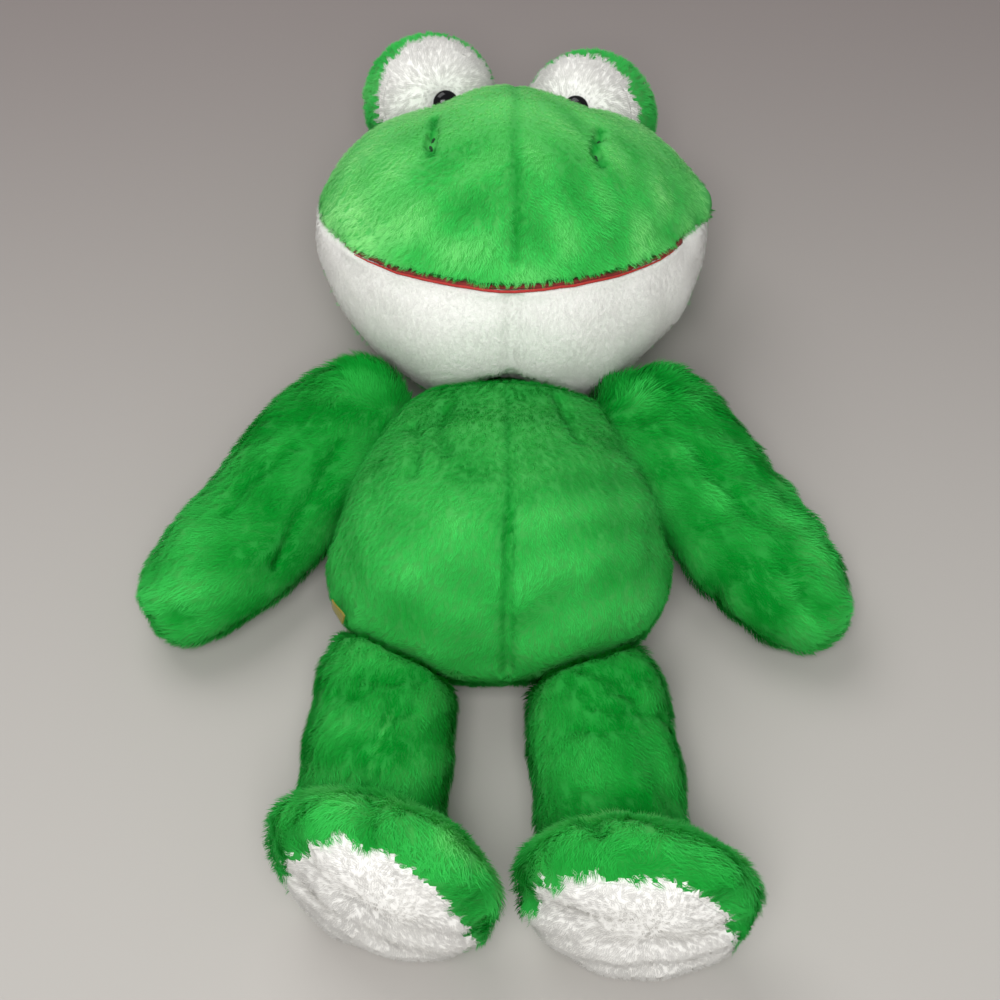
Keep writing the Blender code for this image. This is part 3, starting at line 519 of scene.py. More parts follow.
def onto(form, places, side=ABOVE):
    """Drop places onto a form from one side of it."""
    tree = surface_of(forms[form])
    way = Vector(side)
    found = []
    for place in shifted(*places):
        spot = tree.ray_cast(place + way * DROP, -way)[0]
        found.append(spot if spot is not None else tree.find_nearest(place)[0])
    return found


def press(form, path, depth, width):
    """Sink a form along a path, by millimetres. A depth below 0 pulls it out and leaves no crease."""
    points = coordinates(forms[form].data)
    push(forms[form], -(depth * MM * near_path(points, path, width * MM))[:, None])
    if depth > 0:
        creases.setdefault(form, []).append((path, width * MM))


def press_line(form, depth, width, places, side=ABOVE):
    press(form, onto(form, places, side), depth, width)

# %% [markdown]
# ## Centre seams
# The belly, the back, the snout and the crown each have a seam down the middle. The belly's is drawn
# deepest under its overhang, where the two halves of the torso end.

# %% Press the centre seams
belly = ((3, 46, 60), (3, 30, 60), (3, 10, 60), (3.5, -10, 60), (3.5, -30, 60), (3.5, -45, 60),
         (3, -58, 60))
press_line("torso", 0.7, 1.6, belly)
under_belly = ((3, -52, 60), (3, -58, 52), (3, -66, 44), (3, -74, 36))
seam_end = onto("torso", belly[5:]) + onto("torso", under_belly, (0.0, -0.7, 0.7))
press("torso", seam_end, 3.0, 1.6)
press_line("torso", 1.0, 3.0, [(3, y, 0) for y in (50, 30, 10, -10, -30, -50, -70)], BELOW)
press_line("head_upper", 0.9, 2.5, [(7, y, 60) for y in (205, 190, 170, 150, 130, 110, 90, 75)])
press_line("head_upper", 1.0, 3.0, [(3, y, 0) for y in (200, 180, 160, 140, 120, 100, 80, 65)], BELOW)
press_line("jaw", 2.4, 4.0, ((5.5, 60, 100), (5, 55, 90), (4.5, 52, 80), (4.5, 50, 70), (4.5, 50, 60)),
           (0.0, -1.0, 0.6))
print("belly seam ends", [tuple(round(v / MM, 1) for v in spot) for spot in seam_end])

# %% [markdown]
# ## Brows and corners
# The snout sinks under each eye bump. One corner of the head and the root of the right arm stand out
# further than the CAD's stuffing, so the cloth is pulled out there.

# %% Press the brows and pull the corners
press_line("head_upper", 4.4, 8.0, ((26, 200, 100), (34, 197, 100), (42, 192, 100)))
press_line("head_upper", 3.0, 8.0, ((-22, 201, 100), (-29, 198, 100), (-36, 194, 100)))
press("head_upper", shifted((90, 140, 70), (92, 136, 68)), -4.5, 12.0)
press("right_arm", shifted((-56, 67, 45), (-50, 64, 44)), -4.0, 13.0)
print("head creases", len(creases["head_upper"]))

# %% [markdown]
# ## Nostrils
# Each nostril is a line of thread pulled tight down the snout. The line sinks a little, and deepest in
# two dents where the stitches go in.

# %% Press the nostrils
NOSTRILS = {
    "right": ((-28.5, 158, 100), (-29.0, 150, 100), (-28.8, 143, 100), (-29.6, 137, 100), (-29.2, 130, 100)),
    "left": ((43.5, 150, 100), (42.6, 144, 100), (40.6, 138, 100), (41.0, 132, 100), (43.0, 125, 100)),
}
STITCH_DENTS = {"right": (2, 3), "left": (1, 3)}     # which of these places have a stitch

for side, places in NOSTRILS.items():
    press_line("head_upper", 2.2, 2.2, places)
    for x, y, z in (places[index] for index in STITCH_DENTS[side]):
        press_line("head_upper", 3.6, 2.2, ((x, y - 1, z), (x, y + 1, z)))
print("head creases", len(creases["head_upper"]))

# %% [markdown]
# ## Wrinkles
# Loosely stuffed limbs crumple into short folds across their length. A cloth simulation could find such
# folds, but not in the photograph's own places, so each is pressed as a short line.

# %% Press the wrinkles
WRINKLE = (2.4, 2.6)     # depth and width in millimetres
WRINKLES = {
    "left_leg": (((30, -84, 60), (44, -89, 60), (60, -85, 60)), ((26, -91, 60), (36, -95, 60), (52, -94, 60)),
                 ((34, -100, 60), (46, -103, 60), (64, -99, 60)),
                 ((27, -108, 60), (38, -111, 60), (48, -109, 60))),
    "right_leg": (((-30, -86, 60), (-42, -90, 60), (-54, -87, 60)), ((-56, -96, 60), (-64, -93, 60)),
                  ((-33, -101, 60), (-41, -104, 60))),
    "left_arm": (((116, -33, 60), (124, -46, 55), (130, -60, 50)), ((88, 8, 60), (96, 2, 60), (101, -8, 60)),
                 ((70, 26, 60), (80, 22, 60), (86, 14, 60))),
    "right_arm": (((-132, -58, 40), (-126, -66, 40)),
                  ((-66, 22, 60), (-74, 8, 60), (-83, -8, 60), (-92, -26, 55)),
                  ((-100, 12, 60), (-108, 4, 60), (-112, -8, 60)), ((-86, 20, 60), (-94, 14, 60))),
    "torso": (((-36, 18, 90), (-32, 0, 90), (-34, -18, 90)), ((-22, 24, 90), (-25, 6, 90), (-21, -10, 90)),
              ((24, 34, 90), (28, 18, 90), (32, 2, 90))),
}
TOE_SEAMS = {
    "right_foot": ((-45, -150, 95), (-45.5, -158, 95), (-46, -166, 90), (-47, -173, 86)),
    "left_foot": ((28, -142, 95), (30, -150, 95), (33, -158, 90), (36, -165, 86)),
}

press_line("right_leg", 1.6, 2.4, ((-41, -96, 60), (-43, -108, 60), (-47, -120, 60), (-51, -134, 60)))
for form, lines in WRINKLES.items():
    for line in lines:
        press_line(form, *WRINKLE, line)
for form, line in TOE_SEAMS.items():
    press_line(form, 3.0, 2.6, line)
print("creases", {form: len(lines) for form, lines in creases.items()})

# %% [markdown]
# ## Seats of the eyes
# A locking eye is pulled tight from behind, so it lies in a shallow dent. The CAD gives the direction of
# each eye. The lift turns it to where the eye looks in the photograph.

# %% Press the eye seats
EYE_SEAT = 33 * MM       # from the bump's centre to its outline, which the eye sits on
EYE_LIFT = {"left": (0.11, 0.14, 0.075), "right": (0.02, 0.01, 0.0)}
EYE_DENT = 0.8           # in millimetres


def eye_frame(side):
    """The bump's centre and the direction in which its eye looks."""
    boxes = [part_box(side + node) for node in ("_eye_hood", "_eye_white")]
    low = Vector([min(box[0][i] for box in boxes) for i in range(3)])
    high = Vector([max(box[1][i] for box in boxes) for i in range(3)])
    centre = (low + high) / 2
    axis = (Vector(node_points(side + "_eye_washer").mean(axis=0)) - centre).normalized()
    return centre, (axis + Vector(EYE_LIFT[side])).normalized()


eye_frames = {side: eye_frame(side) for side, _ in SIDES}
eye_seats = {}
for side, (centre, axis) in eye_frames.items():
    spot = centre + axis * EYE_SEAT
    eye_seats[side] = [spot, spot + axis * MM]
    press(side + "_bump", eye_seats[side], EYE_DENT, 8.0)
    print(side, "eye looks along", [round(v, 2) for v in axis])

# %% [markdown]
# ## Cloth pieces
# Each form becomes one padded piece in the place of its CAD skin and stuffing. The eye bumps and the feet
# are parted at their seams' planes into a green and a white panel, each closed.

# %% Part the panels
cloth = {}               # each piece's object, body, form, and the CAD nodes it stands for


def parted(name, form, way):
    """The part of a form on one side of its seam, closed with a flat face."""
    spot, direction = seams[form]
    bm = opened(forms[form].data)
    whole = bm.verts[:] + bm.edges[:] + bm.faces[:]
    bmesh.ops.bisect_plane(bm, geom=whole, plane_co=spot, plane_no=direction * -way, clear_outer=True)
    bmesh.ops.holes_fill(bm, edges=[edge for edge in bm.edges if edge.is_boundary], sides=0)
    bmesh.ops.recalc_face_normals(bm, faces=bm.faces)
    return bm_object(name, bm)


def sew(name, body, form, *nodes, way=0):
    """Note a cloth piece: a whole form, or the part on one side of the form's seam."""
    name += "_cloth"
    cloth[name] = (parted(name, form, way) if way else forms[form], body, form, nodes)


sew("torso", "torso", "torso", "torso_skin", "torso_stuffing")
sew("head_upper", "head", "head_upper", "head_upper_skin", "head_stuffing")
sew("jaw", "head", "jaw", "jaw_skin")
for side, _ in SIDES:
    for limb in (side + "_arm", side + "_leg"):
        sew(limb, limb, limb, limb + "_skin", limb + "_stuffing")
    eye, bump, foot = side + "_eye", side + "_bump", side + "_foot"
    sew(eye + "_hood", "head", bump, eye + "_hood", eye + "_stuffing", way=-1)
    sew(eye + "_white", "head", bump, eye + "_white", way=1)
    sew(foot + "_upper", foot, foot, foot + "_upper", foot + "_stuffing", way=-1)
    sew(foot + "_sole", foot, foot, foot + "_sole", way=1)
print(len(cloth), "cloth pieces")

# %% [markdown]
# ## Pile colours
# Plush is darker at the roots, where the hairs shade each other, and paler at the tips; that shade is
# painted into the colour. Long pile also leans in patches that catch the light unevenly, painted as lighter
# or darker patches. Both effects are the same on green and white pile, so each is a node group. A material
# mixes its own colours with what the groups put out.

# %% Make the groups for pile
def new_group(name, tree_type, takes, gives):
    """An empty node group with named sockets, and the nodes at its two ends."""
    group = bpy.data.node_groups.new(name, tree_type)
    for sockets, way in ((takes, "INPUT"), (gives, "OUTPUT")):
        for label, kind in sockets.items():
            group.interface.new_socket(label, in_out=way, socket_type="NodeSocket" + kind)
    return group, group.nodes.new("NodeGroupInput"), group.nodes.new("NodeGroupOutput")


def attribute(tree, name):
    return add_node(tree, "ShaderNodeAttribute", attribute_name=name).outputs["Fac"]


def patch_group():
    """A mask of soft patches, where the pile's painted sheen is lighter or darker."""
    group, into, out = new_group("pile_patches", "ShaderNodeTree", {"Scale": "Float"}, {"Mask": "Float"})
    broad = add_node(group, "ShaderNodeTexNoise", {
        "Vector": object_place(group), "Scale": into.outputs["Scale"], "Detail": 2.0, "Roughness": 0.45})
    spread = add_node(group, "ShaderNodeMapRange", {
        "Value": broad.outputs["Fac"], "From Min": 0.35, "From Max": 0.65})
    feed(group, out, {"Mask": spread.outputs["Result"]})
    return group


def lock_shade_group():
    """How bright a hair is: darker at its root as painted shade, and a little different in each lock."""
    takes = {"Root": "Float", "Darkest Lock": "Float", "Palest Lock": "Float"}
    group, into, out = new_group("lock_shade", "ShaderNodeTree", takes, {"Value": "Float"})
    shade = add_node(group, "ShaderNodeMapRange", {
        "Value": attribute(group, "tip"), "To Min": into.outputs["Root"]})
    tone = add_node(group, "ShaderNodeMapRange", {
        "Value": attribute(group, "tone"), "To Min": into.outputs["Darkest Lock"],
        "To Max": into.outputs["Palest Lock"]})
    both = add_node(group, "ShaderNodeMath", {0: shade.outputs["Result"], 1: tone.outputs["Result"]},
                    operation="MULTIPLY")
    feed(group, out, {"Value": both.outputs[0]})
    return group


patches = patch_group()
lock_shade = lock_shade_group()
print("groups", patches.name, lock_shade.name)

# %% [markdown]
# ## Hair that light comes through
# A hair is so thin that its underside is as bright as its top. Making all of it translucent would take
# away its sheen, so only the back of each face is: Backfacing picks between the two shaders.

# %% Mix the pile materials
GREENS = ((0.001, 0.29, 0.024), (0.060, 0.60, 0.115), (0.340, 0.86, 0.310))      # from deep to brushed up and lit; the pale end is painted sheen
WHITES = ((0.60, 0.59, 0.565), (0.76, 0.75, 0.72), (0.90, 0.89, 0.86))
PATCH_SCALE = 38.0       # of the noise, so the patches are a few centimetres wide
PATCH_DEPTH = 0.14


def pile_material(name, depths, root_share, tone_spread, sheen):
    """Hair paler where it is brushed up and lit, as painted sheen, darker at its root as painted shade, a
    little different in each lock.
    """
    made, tree, shader = node_material(name)
    mask = add_node(tree, "ShaderNodeGroup", node_tree=patches)
    feed(tree, mask, {"Scale": PATCH_SCALE})
    # the pile's paleness: painted sheen where it is brushed up and lit, painted shade where it is low
    bloom = add_node(tree, "ShaderNodeMath", {
        0: mask.outputs["Mask"], 1: PATCH_DEPTH, 2: attribute(tree, "bloom")},
        operation="MULTIPLY_ADD", use_clamp=True)
    ramp = add_node(tree, "ShaderNodeValToRGB", {"Fac": bloom.outputs[0]})
    ramp.color_ramp.elements.new(0.5)
    for element, colour in zip(ramp.color_ramp.elements, depths):
        element.color = rgba(*colour)
    shade = add_node(tree, "ShaderNodeGroup", node_tree=lock_shade)
    feed(tree, shade, {"Root": root_share, "Darkest Lock": 1 - tone_spread, "Palest Lock": 1 + tone_spread})
    shaded = add_node(tree, "ShaderNodeHueSaturation", {
        "Value": shade.outputs["Value"], "Color": ramp.outputs["Color"]}).outputs["Color"]
    under = add_node(tree, "ShaderNodeBsdfTranslucent", {"Color": shaded})
    through = add_node(tree, "ShaderNodeMixShader", {
        "Fac": add_node(tree, "ShaderNodeNewGeometry").outputs["Backfacing"],
        1: shader.outputs["BSDF"], 2: under.outputs["BSDF"]})
    feed(tree, tree.nodes["Material Output"], {"Surface": through.outputs["Shader"]})
    feed(tree, shader, {"Base Color": shaded, "Roughness": 0.8, "Specular IOR Level": 0.06,
                        "Sheen Weight": sheen, "Sheen Roughness": 0.5, "Sheen Tint": rgba(*depths[-1])})
    return made


green_pile = pile_material("green_pile", GREENS, root_share=0.76, tone_spread=0.06, sheen=0.05)
white_pile = pile_material("white_pile", WHITES, root_share=0.90, tone_spread=0.03, sheen=0.02)
print("pile materials", green_pile.name, white_pile.name)

# %% [markdown]
# ## Backing cloth
# Under the pile lies a knitted backing that shows between the locks. A fine knit in its colour and bump
# is detail enough, but its tone matters: a backing of one green would show as dark flecks where the pile
# is pale. So it mixes in a second green that follows the painted sheen and shade of the pile above it.
# The other cloths of the toy are made by the same function.

# %% Make the backing
BACKING_SHARE = 0.75     # how much of the backing's colour follows the painted sheen and shade of its pile


def texture_group(name, kind, output, settings):
    """A fine texture on Object coordinates, put out as one value."""
    group, _, out = new_group(name, "ShaderNodeTree", {}, {"Height": "Float"})
    texture = add_node(group, kind, {"Vector": object_place(group), **settings})
    feed(group, out, {"Height": texture.outputs[output]})
    return group


knit = texture_group("knit", "ShaderNodeTexVoronoi", "Distance", {"Scale": 900.0})
weave = texture_group("weave", "ShaderNodeTexNoise", "Fac", {"Scale": 600.0, "Detail": 4.0})


def cloth_material(name, group, low, high, roughness, sheen=0.0, depths=None):
    """A dull cloth whose colour and bump follow the height of its knit or weave.

    With depths it also takes the painted sheen and shade of the pile that stands on it.
    """
    made, tree, shader = node_material(name)
    height = add_node(tree, "ShaderNodeGroup", node_tree=group).outputs["Height"]
    colour = mix_colour(tree, height, rgba(*low), rgba(*high))
    if depths:
        painted_sheen = mix_colour(tree, attribute(tree, "bloom"), rgba(*depths[0]), rgba(*depths[1]))
        colour = mix_colour(tree, BACKING_SHARE, colour, painted_sheen)
    bump = add_node(tree, "ShaderNodeBump", {"Strength": 0.5, "Distance": 0.3 * MM, "Height": height})
    feed(tree, shader, {"Base Color": colour, "Normal": bump.outputs["Normal"], "Roughness": roughness,
                        "Sheen Weight": sheen})
    return made


green_backing = cloth_material("green_backing", knit, (0.010, 0.34, 0.045), (0.004, 0.24, 0.026), 0.95,
                               depths=((0.001, 0.25, 0.021), (0.130, 0.61, 0.145)))
white_backing = cloth_material("white_backing", knit, (0.88, 0.87, 0.84), (0.80, 0.79, 0.75), 0.95)
print("backings", green_backing.name, white_backing.name)

# %% [markdown]
# ## Where white meets green
# On the feet and the eye bumps the white pile doesn't end in a clean line. Its edge wanders a few
# millimetres from the seam, and the backing changes colour along the same edge.

# %% Draw the ragged edges
TOE_PLACES = np.array((-42, -25, -8, 4, 16, 42)) * MM    # across the foot, from its seam's middle
TOE_REACH = {            # how far the white reaches past the seam there, in millimetres
    "right": (-5.0, -1.0, 5.0, 6.0, 2.0, -1.0),
    "left": (-1.0, 2.0, 3.0, 0.5, 3.0, -1.0),
}


def white_height(mesh, edge):
    """How far each face lies inside the ragged edge of the white pile."""
    spot, direction, past, seed = edge
    centres = np.array([face.center for face in mesh.polygons])
    ragged = waves(centres, 9 * MM, seed)[:, 0] * 1.5 * MM + waves(centres, 4 * MM, seed + 1)[:, 0] * 0.8 * MM
    return (centres - np.array(spot)) @ np.array(direction) + past(centres) + ragged


def toe_reach(side):
    """The white reaches furthest under the heel, and unevenly over the toes."""
    places = TOE_PLACES + seams[side + "_foot"][0].x
    return lambda points: (np.interp(points[:, 0], places, np.array(TOE_REACH[side]) * MM)
                           + 7.0 * MM * smoothstep(0.045, 0.020, points[:, 2]))


def eye_reach(side, way):
    """The white reaches furthest over the top of the bump and towards the middle of the head."""
    centre = np.array(eye_frames[side][0])
    ahead = np.array((-way * 0.45, 0.85, 0.25))
    return lambda points: (3.0 + 6.0 * smoothstep(-0.2, 1.0, (points - centre) @ ahead / EYE_SEAT)) * MM


ragged_edges = {}
for side, way in SIDES:
    foot, bump = side + "_foot", side + "_bump"
    ragged_edges[foot] = (*seams[foot], toe_reach(side), 60 + way)
    ragged_edges[bump] = (*seams[bump], eye_reach(side, way), 90 + way)
print("ragged edges", list(ragged_edges))

# %% [markdown]
# ## Dressing a piece
# Every finished piece gets the same things: a material, soft shading, the body it rides on, and the CAD
# nodes that it stands for. The cloth pieces come first. Where a panel's form crosses the ragged edge, its
# backing changes to the other colour.


def dress(item, look, body, slot, *nodes):
    item.data.name = item.name
    item.data.materials.clear()
    item.data.materials.append(look)
    item.data.shade_smooth()
    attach(item, body)
    if nodes:
        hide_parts(*nodes)


def is_white(name):
    return "white" in name or "sole" in name or name.startswith("jaw")


for name, (item, body, form, nodes) in cloth.items():
    item.name = name
    white = is_white(name)
    own, other = (white_backing, green_backing) if white else (green_backing, white_backing)
    dress(item, own, body, "white_pile" if white else "green_pile", *nodes)
    if form in ragged_edges:
        item.data.materials.append(other)
        crossed = (white_height(item.data, ragged_edges[form]) > 0.0) != white
        item.data.polygons.foreach_set("material_index", crossed.astype(np.int32))
bpy.context.view_layer.update()
print("dressed", len(cloth), "cloth pieces")

# %% [markdown]
# ## One lock of pile
# Hairs stick together in small locks. One lock is modelled, with eight tapered blades that start apart
# and lean together, and is then planted many times over. It is one unit long, so that its scale is the
# length of the pile.

# %% Model the lock
LOCK_BLADES = 8
LOCK_RADIUS = 0.30
BLADE_HALF_WIDTH = 0.026
ROOT_DEPTH = 0.06        # the roots start a little under the cloth


def model_lock(seed):
    """Tapered blades that rise along Z and lean over towards X."""
    chance = np.random.default_rng(seed)
    bm = bmesh.new()
    tips = bm.verts.layers.float.new("tip")
    across = bm.verts.layers.float.new("across")
    for blade in range(LOCK_BLADES):
        angle = 2 * math.pi * (blade + chance.uniform(-0.3, 0.3)) / LOCK_BLADES
        out = LOCK_RADIUS * math.sqrt(chance.uniform(0.15, 1.0))
        root = Vector((out * math.cos(angle), out * math.sin(angle), -ROOT_DEPTH))
        length = chance.uniform(0.75, 1.1)
        fan = chance.uniform(-0.16, 0.16)
        lift = chance.uniform(0.42, 0.62)
        twist = chance.uniform(-0.7, 0.7)
        for vert in bmesh.ops.create_grid(bm, x_segments=1, y_segments=2, size=1.0)["verts"]:
            share = (vert.co.y + 1) / 2          # 0 at the root, 1 at the tip
            edge = 0.0 if share > 0.9 else vert.co.x * BLADE_HALF_WIDTH * (1.0 - 0.25 * share)
            along = length * (0.55 * share + 0.30 * share * share)
            vert[tips] = share
            vert[across] = (blade + 0.5 + 0.35 * vert.co.x) / LOCK_BLADES
            vert.co = Vector((
                root.x * (1 - 0.5 * share) + along,
                root.y * (1 - 0.5 * share) + fan * share + edge * math.cos(twist),
                root.z + lift * length * (1.45 * share - 0.45 * share * share) + edge * math.sin(twist),
            ))
    bmesh.ops.remove_doubles(bm, verts=bm.verts, dist=0.001)
    bmesh.ops.triangulate(bm, faces=bm.faces)
    bm.normal_update()
    bmesh.ops.reverse_faces(bm, faces=[face for face in bm.faces if face.normal.z < 0.0])
    item = bm_object("lock", bm)
    item.data.shade_smooth()
    return item


lock = model_lock(seed=7)
print("lock:", len(lock.data.polygons), "faces")

# %% [markdown]
# ## Planting the pile
# Geometry Nodes scatter points over the cloth, turn a lock at each to stand on the surface and lean with
# the lay, and turn the result into one mesh. A particle system would also do, but its hairs don't leave
# Blender as plain faces.

# %% Build the planting nodes
LEAST_LOCK = (0.75, 0.75, 0.60)      # the smallest and the largest lock, against the pile's length
MOST_LOCK = (1.20, 1.20, 1.15)


def planting_group():
    """Cloth in, pile out. A random value's inputs 0 and 1 are for vectors, and 2 and 3 for numbers."""
    takes = {"Cloth": "Geometry", "Lock": "Object", "Density": "Float", "Seed": "Int", "Stray": "Float"}
    group, into, out = new_group("plant_pile", "GeometryNodeTree", takes, {"Pile": "Geometry"})
    given = into.outputs

    def new(kind, inputs=None, **settings):
        return add_node(group, kind, inputs, **settings)

    def named(name, kind):
        node = new("GeometryNodeInputNamedAttribute", {"Name": name}, data_type=kind)
        return node.outputs["Attribute"]

    def stored(geometry, name, value, kind, domain="POINT"):
        node = new("GeometryNodeStoreNamedAttribute", {"Geometry": geometry, "Name": name, "Value": value},
                   data_type=kind, domain=domain)
        return node.outputs["Geometry"]

    scatter = new("GeometryNodeDistributePointsOnFaces", {
        "Mesh": given["Cloth"], "Density": given["Density"], "Seed": given["Seed"]})
    normal = scatter.outputs["Normal"]
    position = new("GeometryNodeInputPosition").outputs[0]
    points = stored(scatter.outputs["Points"], "root", position, "FLOAT_VECTOR")
    points = stored(points, "outward", normal, "FLOAT_VECTOR")
    stand = new("FunctionNodeAlignRotationToVector", {"Vector": normal}, axis="Z")
    lean = new("FunctionNodeAlignRotationToVector", {
        "Rotation": stand.outputs[0], "Vector": named("lay", "FLOAT_VECTOR")}, axis="X", pivot_axis="Z")
    minus = new("ShaderNodeMath", {0: given["Stray"], 1: -1.0}, operation="MULTIPLY")
    stray = new("FunctionNodeRandomValue", {
        2: minus.outputs[0], 3: given["Stray"], "Seed": given["Seed"]}, data_type="FLOAT")
    angle = new("ShaderNodeCombineXYZ", {"Z": stray.outputs[1]})
    spin = new("FunctionNodeEulerToRotation", {0: angle.outputs[0]})
    turn = new("FunctionNodeRotateRotation", {
        "Rotation": lean.outputs[0], "Rotate By": spin.outputs[0]}, rotation_space="LOCAL")
    vary = new("FunctionNodeRandomValue", {0: LEAST_LOCK, 1: MOST_LOCK}, data_type="FLOAT_VECTOR")
    size = new("ShaderNodeVectorMath", {0: vary.outputs[0], "Scale": named("pile", "FLOAT")},
               operation="SCALE")
    pattern = new("GeometryNodeObjectInfo", {"Object": given["Lock"]})
    plant = new("GeometryNodeInstanceOnPoints", {
        "Points": points, "Instance": pattern.outputs["Geometry"], "Rotation": turn.outputs[0],
        "Scale": size.outputs[0]})
    shade = new("FunctionNodeRandomValue", data_type="FLOAT")
    toned = stored(plant.outputs[0], "tone", shade.outputs[1], "FLOAT", domain="INSTANCE")
    real = new("GeometryNodeRealizeInstances", {"Geometry": toned})
    feed(group, out, {"Pile": real.outputs["Geometry"]})
    return group


planting = planting_group()
print("planting nodes:", len(planting.nodes))

# %% [markdown]
# ## Room for the pile
# Pile is pressed flat where another part of the toy lies close, so its length follows the distance to
# the nearest piece on another body.

# %% Measure the room for the pile
NEAR_ROOM = 0.5 * MM
FULL_ROOM = 5 * MM
LEAST_PILE = 0.55        # the length that is left where there is no room

trees = [(tree_of(item.data), body) for item, body, _, _ in cloth.values()]


def room_share(points, body):
    """0 where a piece on another body touches the cloth, 1 where none is near."""
    nearest = np.full(len(points), FULL_ROOM)
    for tree in (tree for tree, other in trees if other != body):
        for index, point in enumerate(points):
            distance = tree.find_nearest(Vector(point), FULL_ROOM)[3]
            if distance is not None:
                nearest[index] = min(nearest[index], distance)
    return np.clip((nearest - NEAR_ROOM) / (FULL_ROOM - NEAR_ROOM), 0.0, 1.0)


print(len(trees), "pieces to keep clear of")

# %% [markdown]
# ## Patches of cloth to plant
# Pile grows only on the outside of the cloth. A patch is a copy of some of its faces: those on one side
# of the ragged edge, or those that lie on the outer surface and within some limits.

# %% Cut the patches
OUTER_DEPTH = 2.2 * MM   # faces further inside than this belong to a rolled edge or a cut


def patch(mesh, kept):
    """A copy of a mesh with only the faces that pass a test."""
    bm = opened(mesh)
    bmesh.ops.delete(bm, geom=[face for face in bm.faces if not kept(face)], context="FACES")
    return new_mesh("patch", bm)


def side_of_seam(form, white):
    """The faces on one side of the ragged edge between white and green pile."""
    inside = white_height(forms[form].data, ragged_edges[form]) > 0.0
    return patch(forms[form].data, lambda face: inside[face.index] == white)


def outer_faces(cloth_name, whole, keep=None):
    """The outer faces whose centres are kept."""
    tree = surface_of(whole)

    def kept(face):
        centre = face.calc_center_median()
        return tree.find_nearest(centre)[3] <= OUTER_DEPTH and (keep is None or keep(centre))

    return patch(cloth[cloth_name][0].data, kept)


def within(low=-1.0, high=1.0, side=0):
    """Keeps what lies between two heights, and optionally on one side of the toy."""
    return lambda c: low < c.z <= high and (c.x - FACE_X) * side >= 0.0

# %% [markdown]
# ## A map for baking
# The finished look may be painted into an image later. For that each vertex needs its own place on a flat
# map. Unwrapping so many blades would leave slivers, so each lock gets a small patch at the place of its
# root, as if the piece were unrolled like a label from a bottle.

# %% Lay out the map
LOCK_PATCH = 0.006       # the size of a lock on the map, which is one unit wide
MAP_EDGE = 0.01
MAP_SIZE = 0.97


def numbers(mesh, name):
    """A named number of each vertex."""
    flat = np.empty(len(mesh.vertices), np.float32)
    mesh.attributes[name].data.foreach_get("value", flat)
    return flat


def bake_map(mesh):
    roots = vectors(mesh.attributes["root"].data, "vector")
    centred = roots - (roots.min(axis=0) + roots.max(axis=0)) / 2
    raw = np.stack((np.arctan2(centred[:, 2], centred[:, 0]), centred[:, 1]), axis=1)
    raw = (raw - raw.min(axis=0)) / np.ptp(raw, axis=0)
    in_lock = np.stack((numbers(mesh, "across"), numbers(mesh, "tip")), axis=1)
    uv = MAP_EDGE + raw * MAP_SIZE + in_lock * LOCK_PATCH
    corners = np.empty(len(mesh.loops), np.int32)
    mesh.loops.foreach_get("vertex_index", corners)
    layer = mesh.uv_layers.new(name="OFBake")
    layer.uv.foreach_set("vector", uv[corners].astype(np.float32).ravel())

# %% [markdown]
# ## Length, tone and lay
# Three values on the cloth steer the pile: its length, its tone, and its lay, the direction in which it
# is brushed. Length drops over seams, and the tone drops there as painted shade in the crease. Tone and
# lay vary a little from place to place, as on a toy that has been handled.

# %% Steer the pile
CREASE_SHORTER, CREASE_SHADE = 0.45, 0.35       # what a crease takes off the length, and off the tone as painted shade
TONE_SPREAD, TONE_SIZE = 0.12, 22 * MM
LAY_SPREAD, LAY_SIZE = 0.38, 28 * MM


def over(points, value):
    """A value for each point, from a number or from a function of the points."""
    return value(points) if callable(value) else np.full(len(points), value)


def mark(mesh, name, values):
    """Store a number or a vector on each vertex."""
    kind, key = ("FLOAT", "value") if values.ndim == 1 else ("FLOAT_VECTOR", "vector")
    layer = mesh.attributes.new(name, kind, "POINT")
    layer.data.foreach_set(key, values.astype(np.float32).ravel())


def steer(mesh, form, body, length, bloom, lay, seed):
    """Write the pile's tone, length and lay on the patch that it grows on."""
    points = coordinates(mesh)
    pile = over(points, length)
    paler = over(points, bloom) + waves(points, TONE_SIZE, seed + 500)[:, 0] * TONE_SPREAD
    for path, width in creases.get(form, []):
        pile *= 1 - CREASE_SHORTER * near_path(points, path, width * 0.8)
        # painted shade in the crease
        paler -= CREASE_SHADE * near_path(points, path, width)
    for path, width, share in shorn.get(form, []):
        pile *= 1 - share * near_path(points, path, width)
    pile *= LEAST_PILE + (1 - LEAST_PILE) * room_share(points, body)
    # painted paler along a parting, and darker as painted shade in the nostrils and at the seam's end
    for path, width, amount in partings_and_shade.get(form, []):
        paler += amount * near_path(points, path, width)
    mark(mesh, "bloom", paler)
    mark(mesh, "pile", pile)
    mark(mesh, "lay", lay(points) + waves(points, LAY_SIZE, seed) * LAY_SPREAD)
    return points, paler

# %% [markdown]
# ## One piece of pile
# A patch gets the planting nodes as a modifier, which is applied so that the pile is one plain mesh. At
# the end the hairs are shaded mostly like the cloth they stand on. With their own normals alone, so many
# thin faces would glitter.

# %% Plant one piece of pile
DENSITY = 0.26 / MM ** 2     # locks on a square metre, before each piece's own share
GREEN_SOFTNESS = 0.76        # how far each hair is shaded like the cloth it stands on
WHITE_SOFTNESS = 0.90

counts = {}
tones = {}                   # the green pile's tone, with its painted sheen and shade, at the places of the patches, for the backing
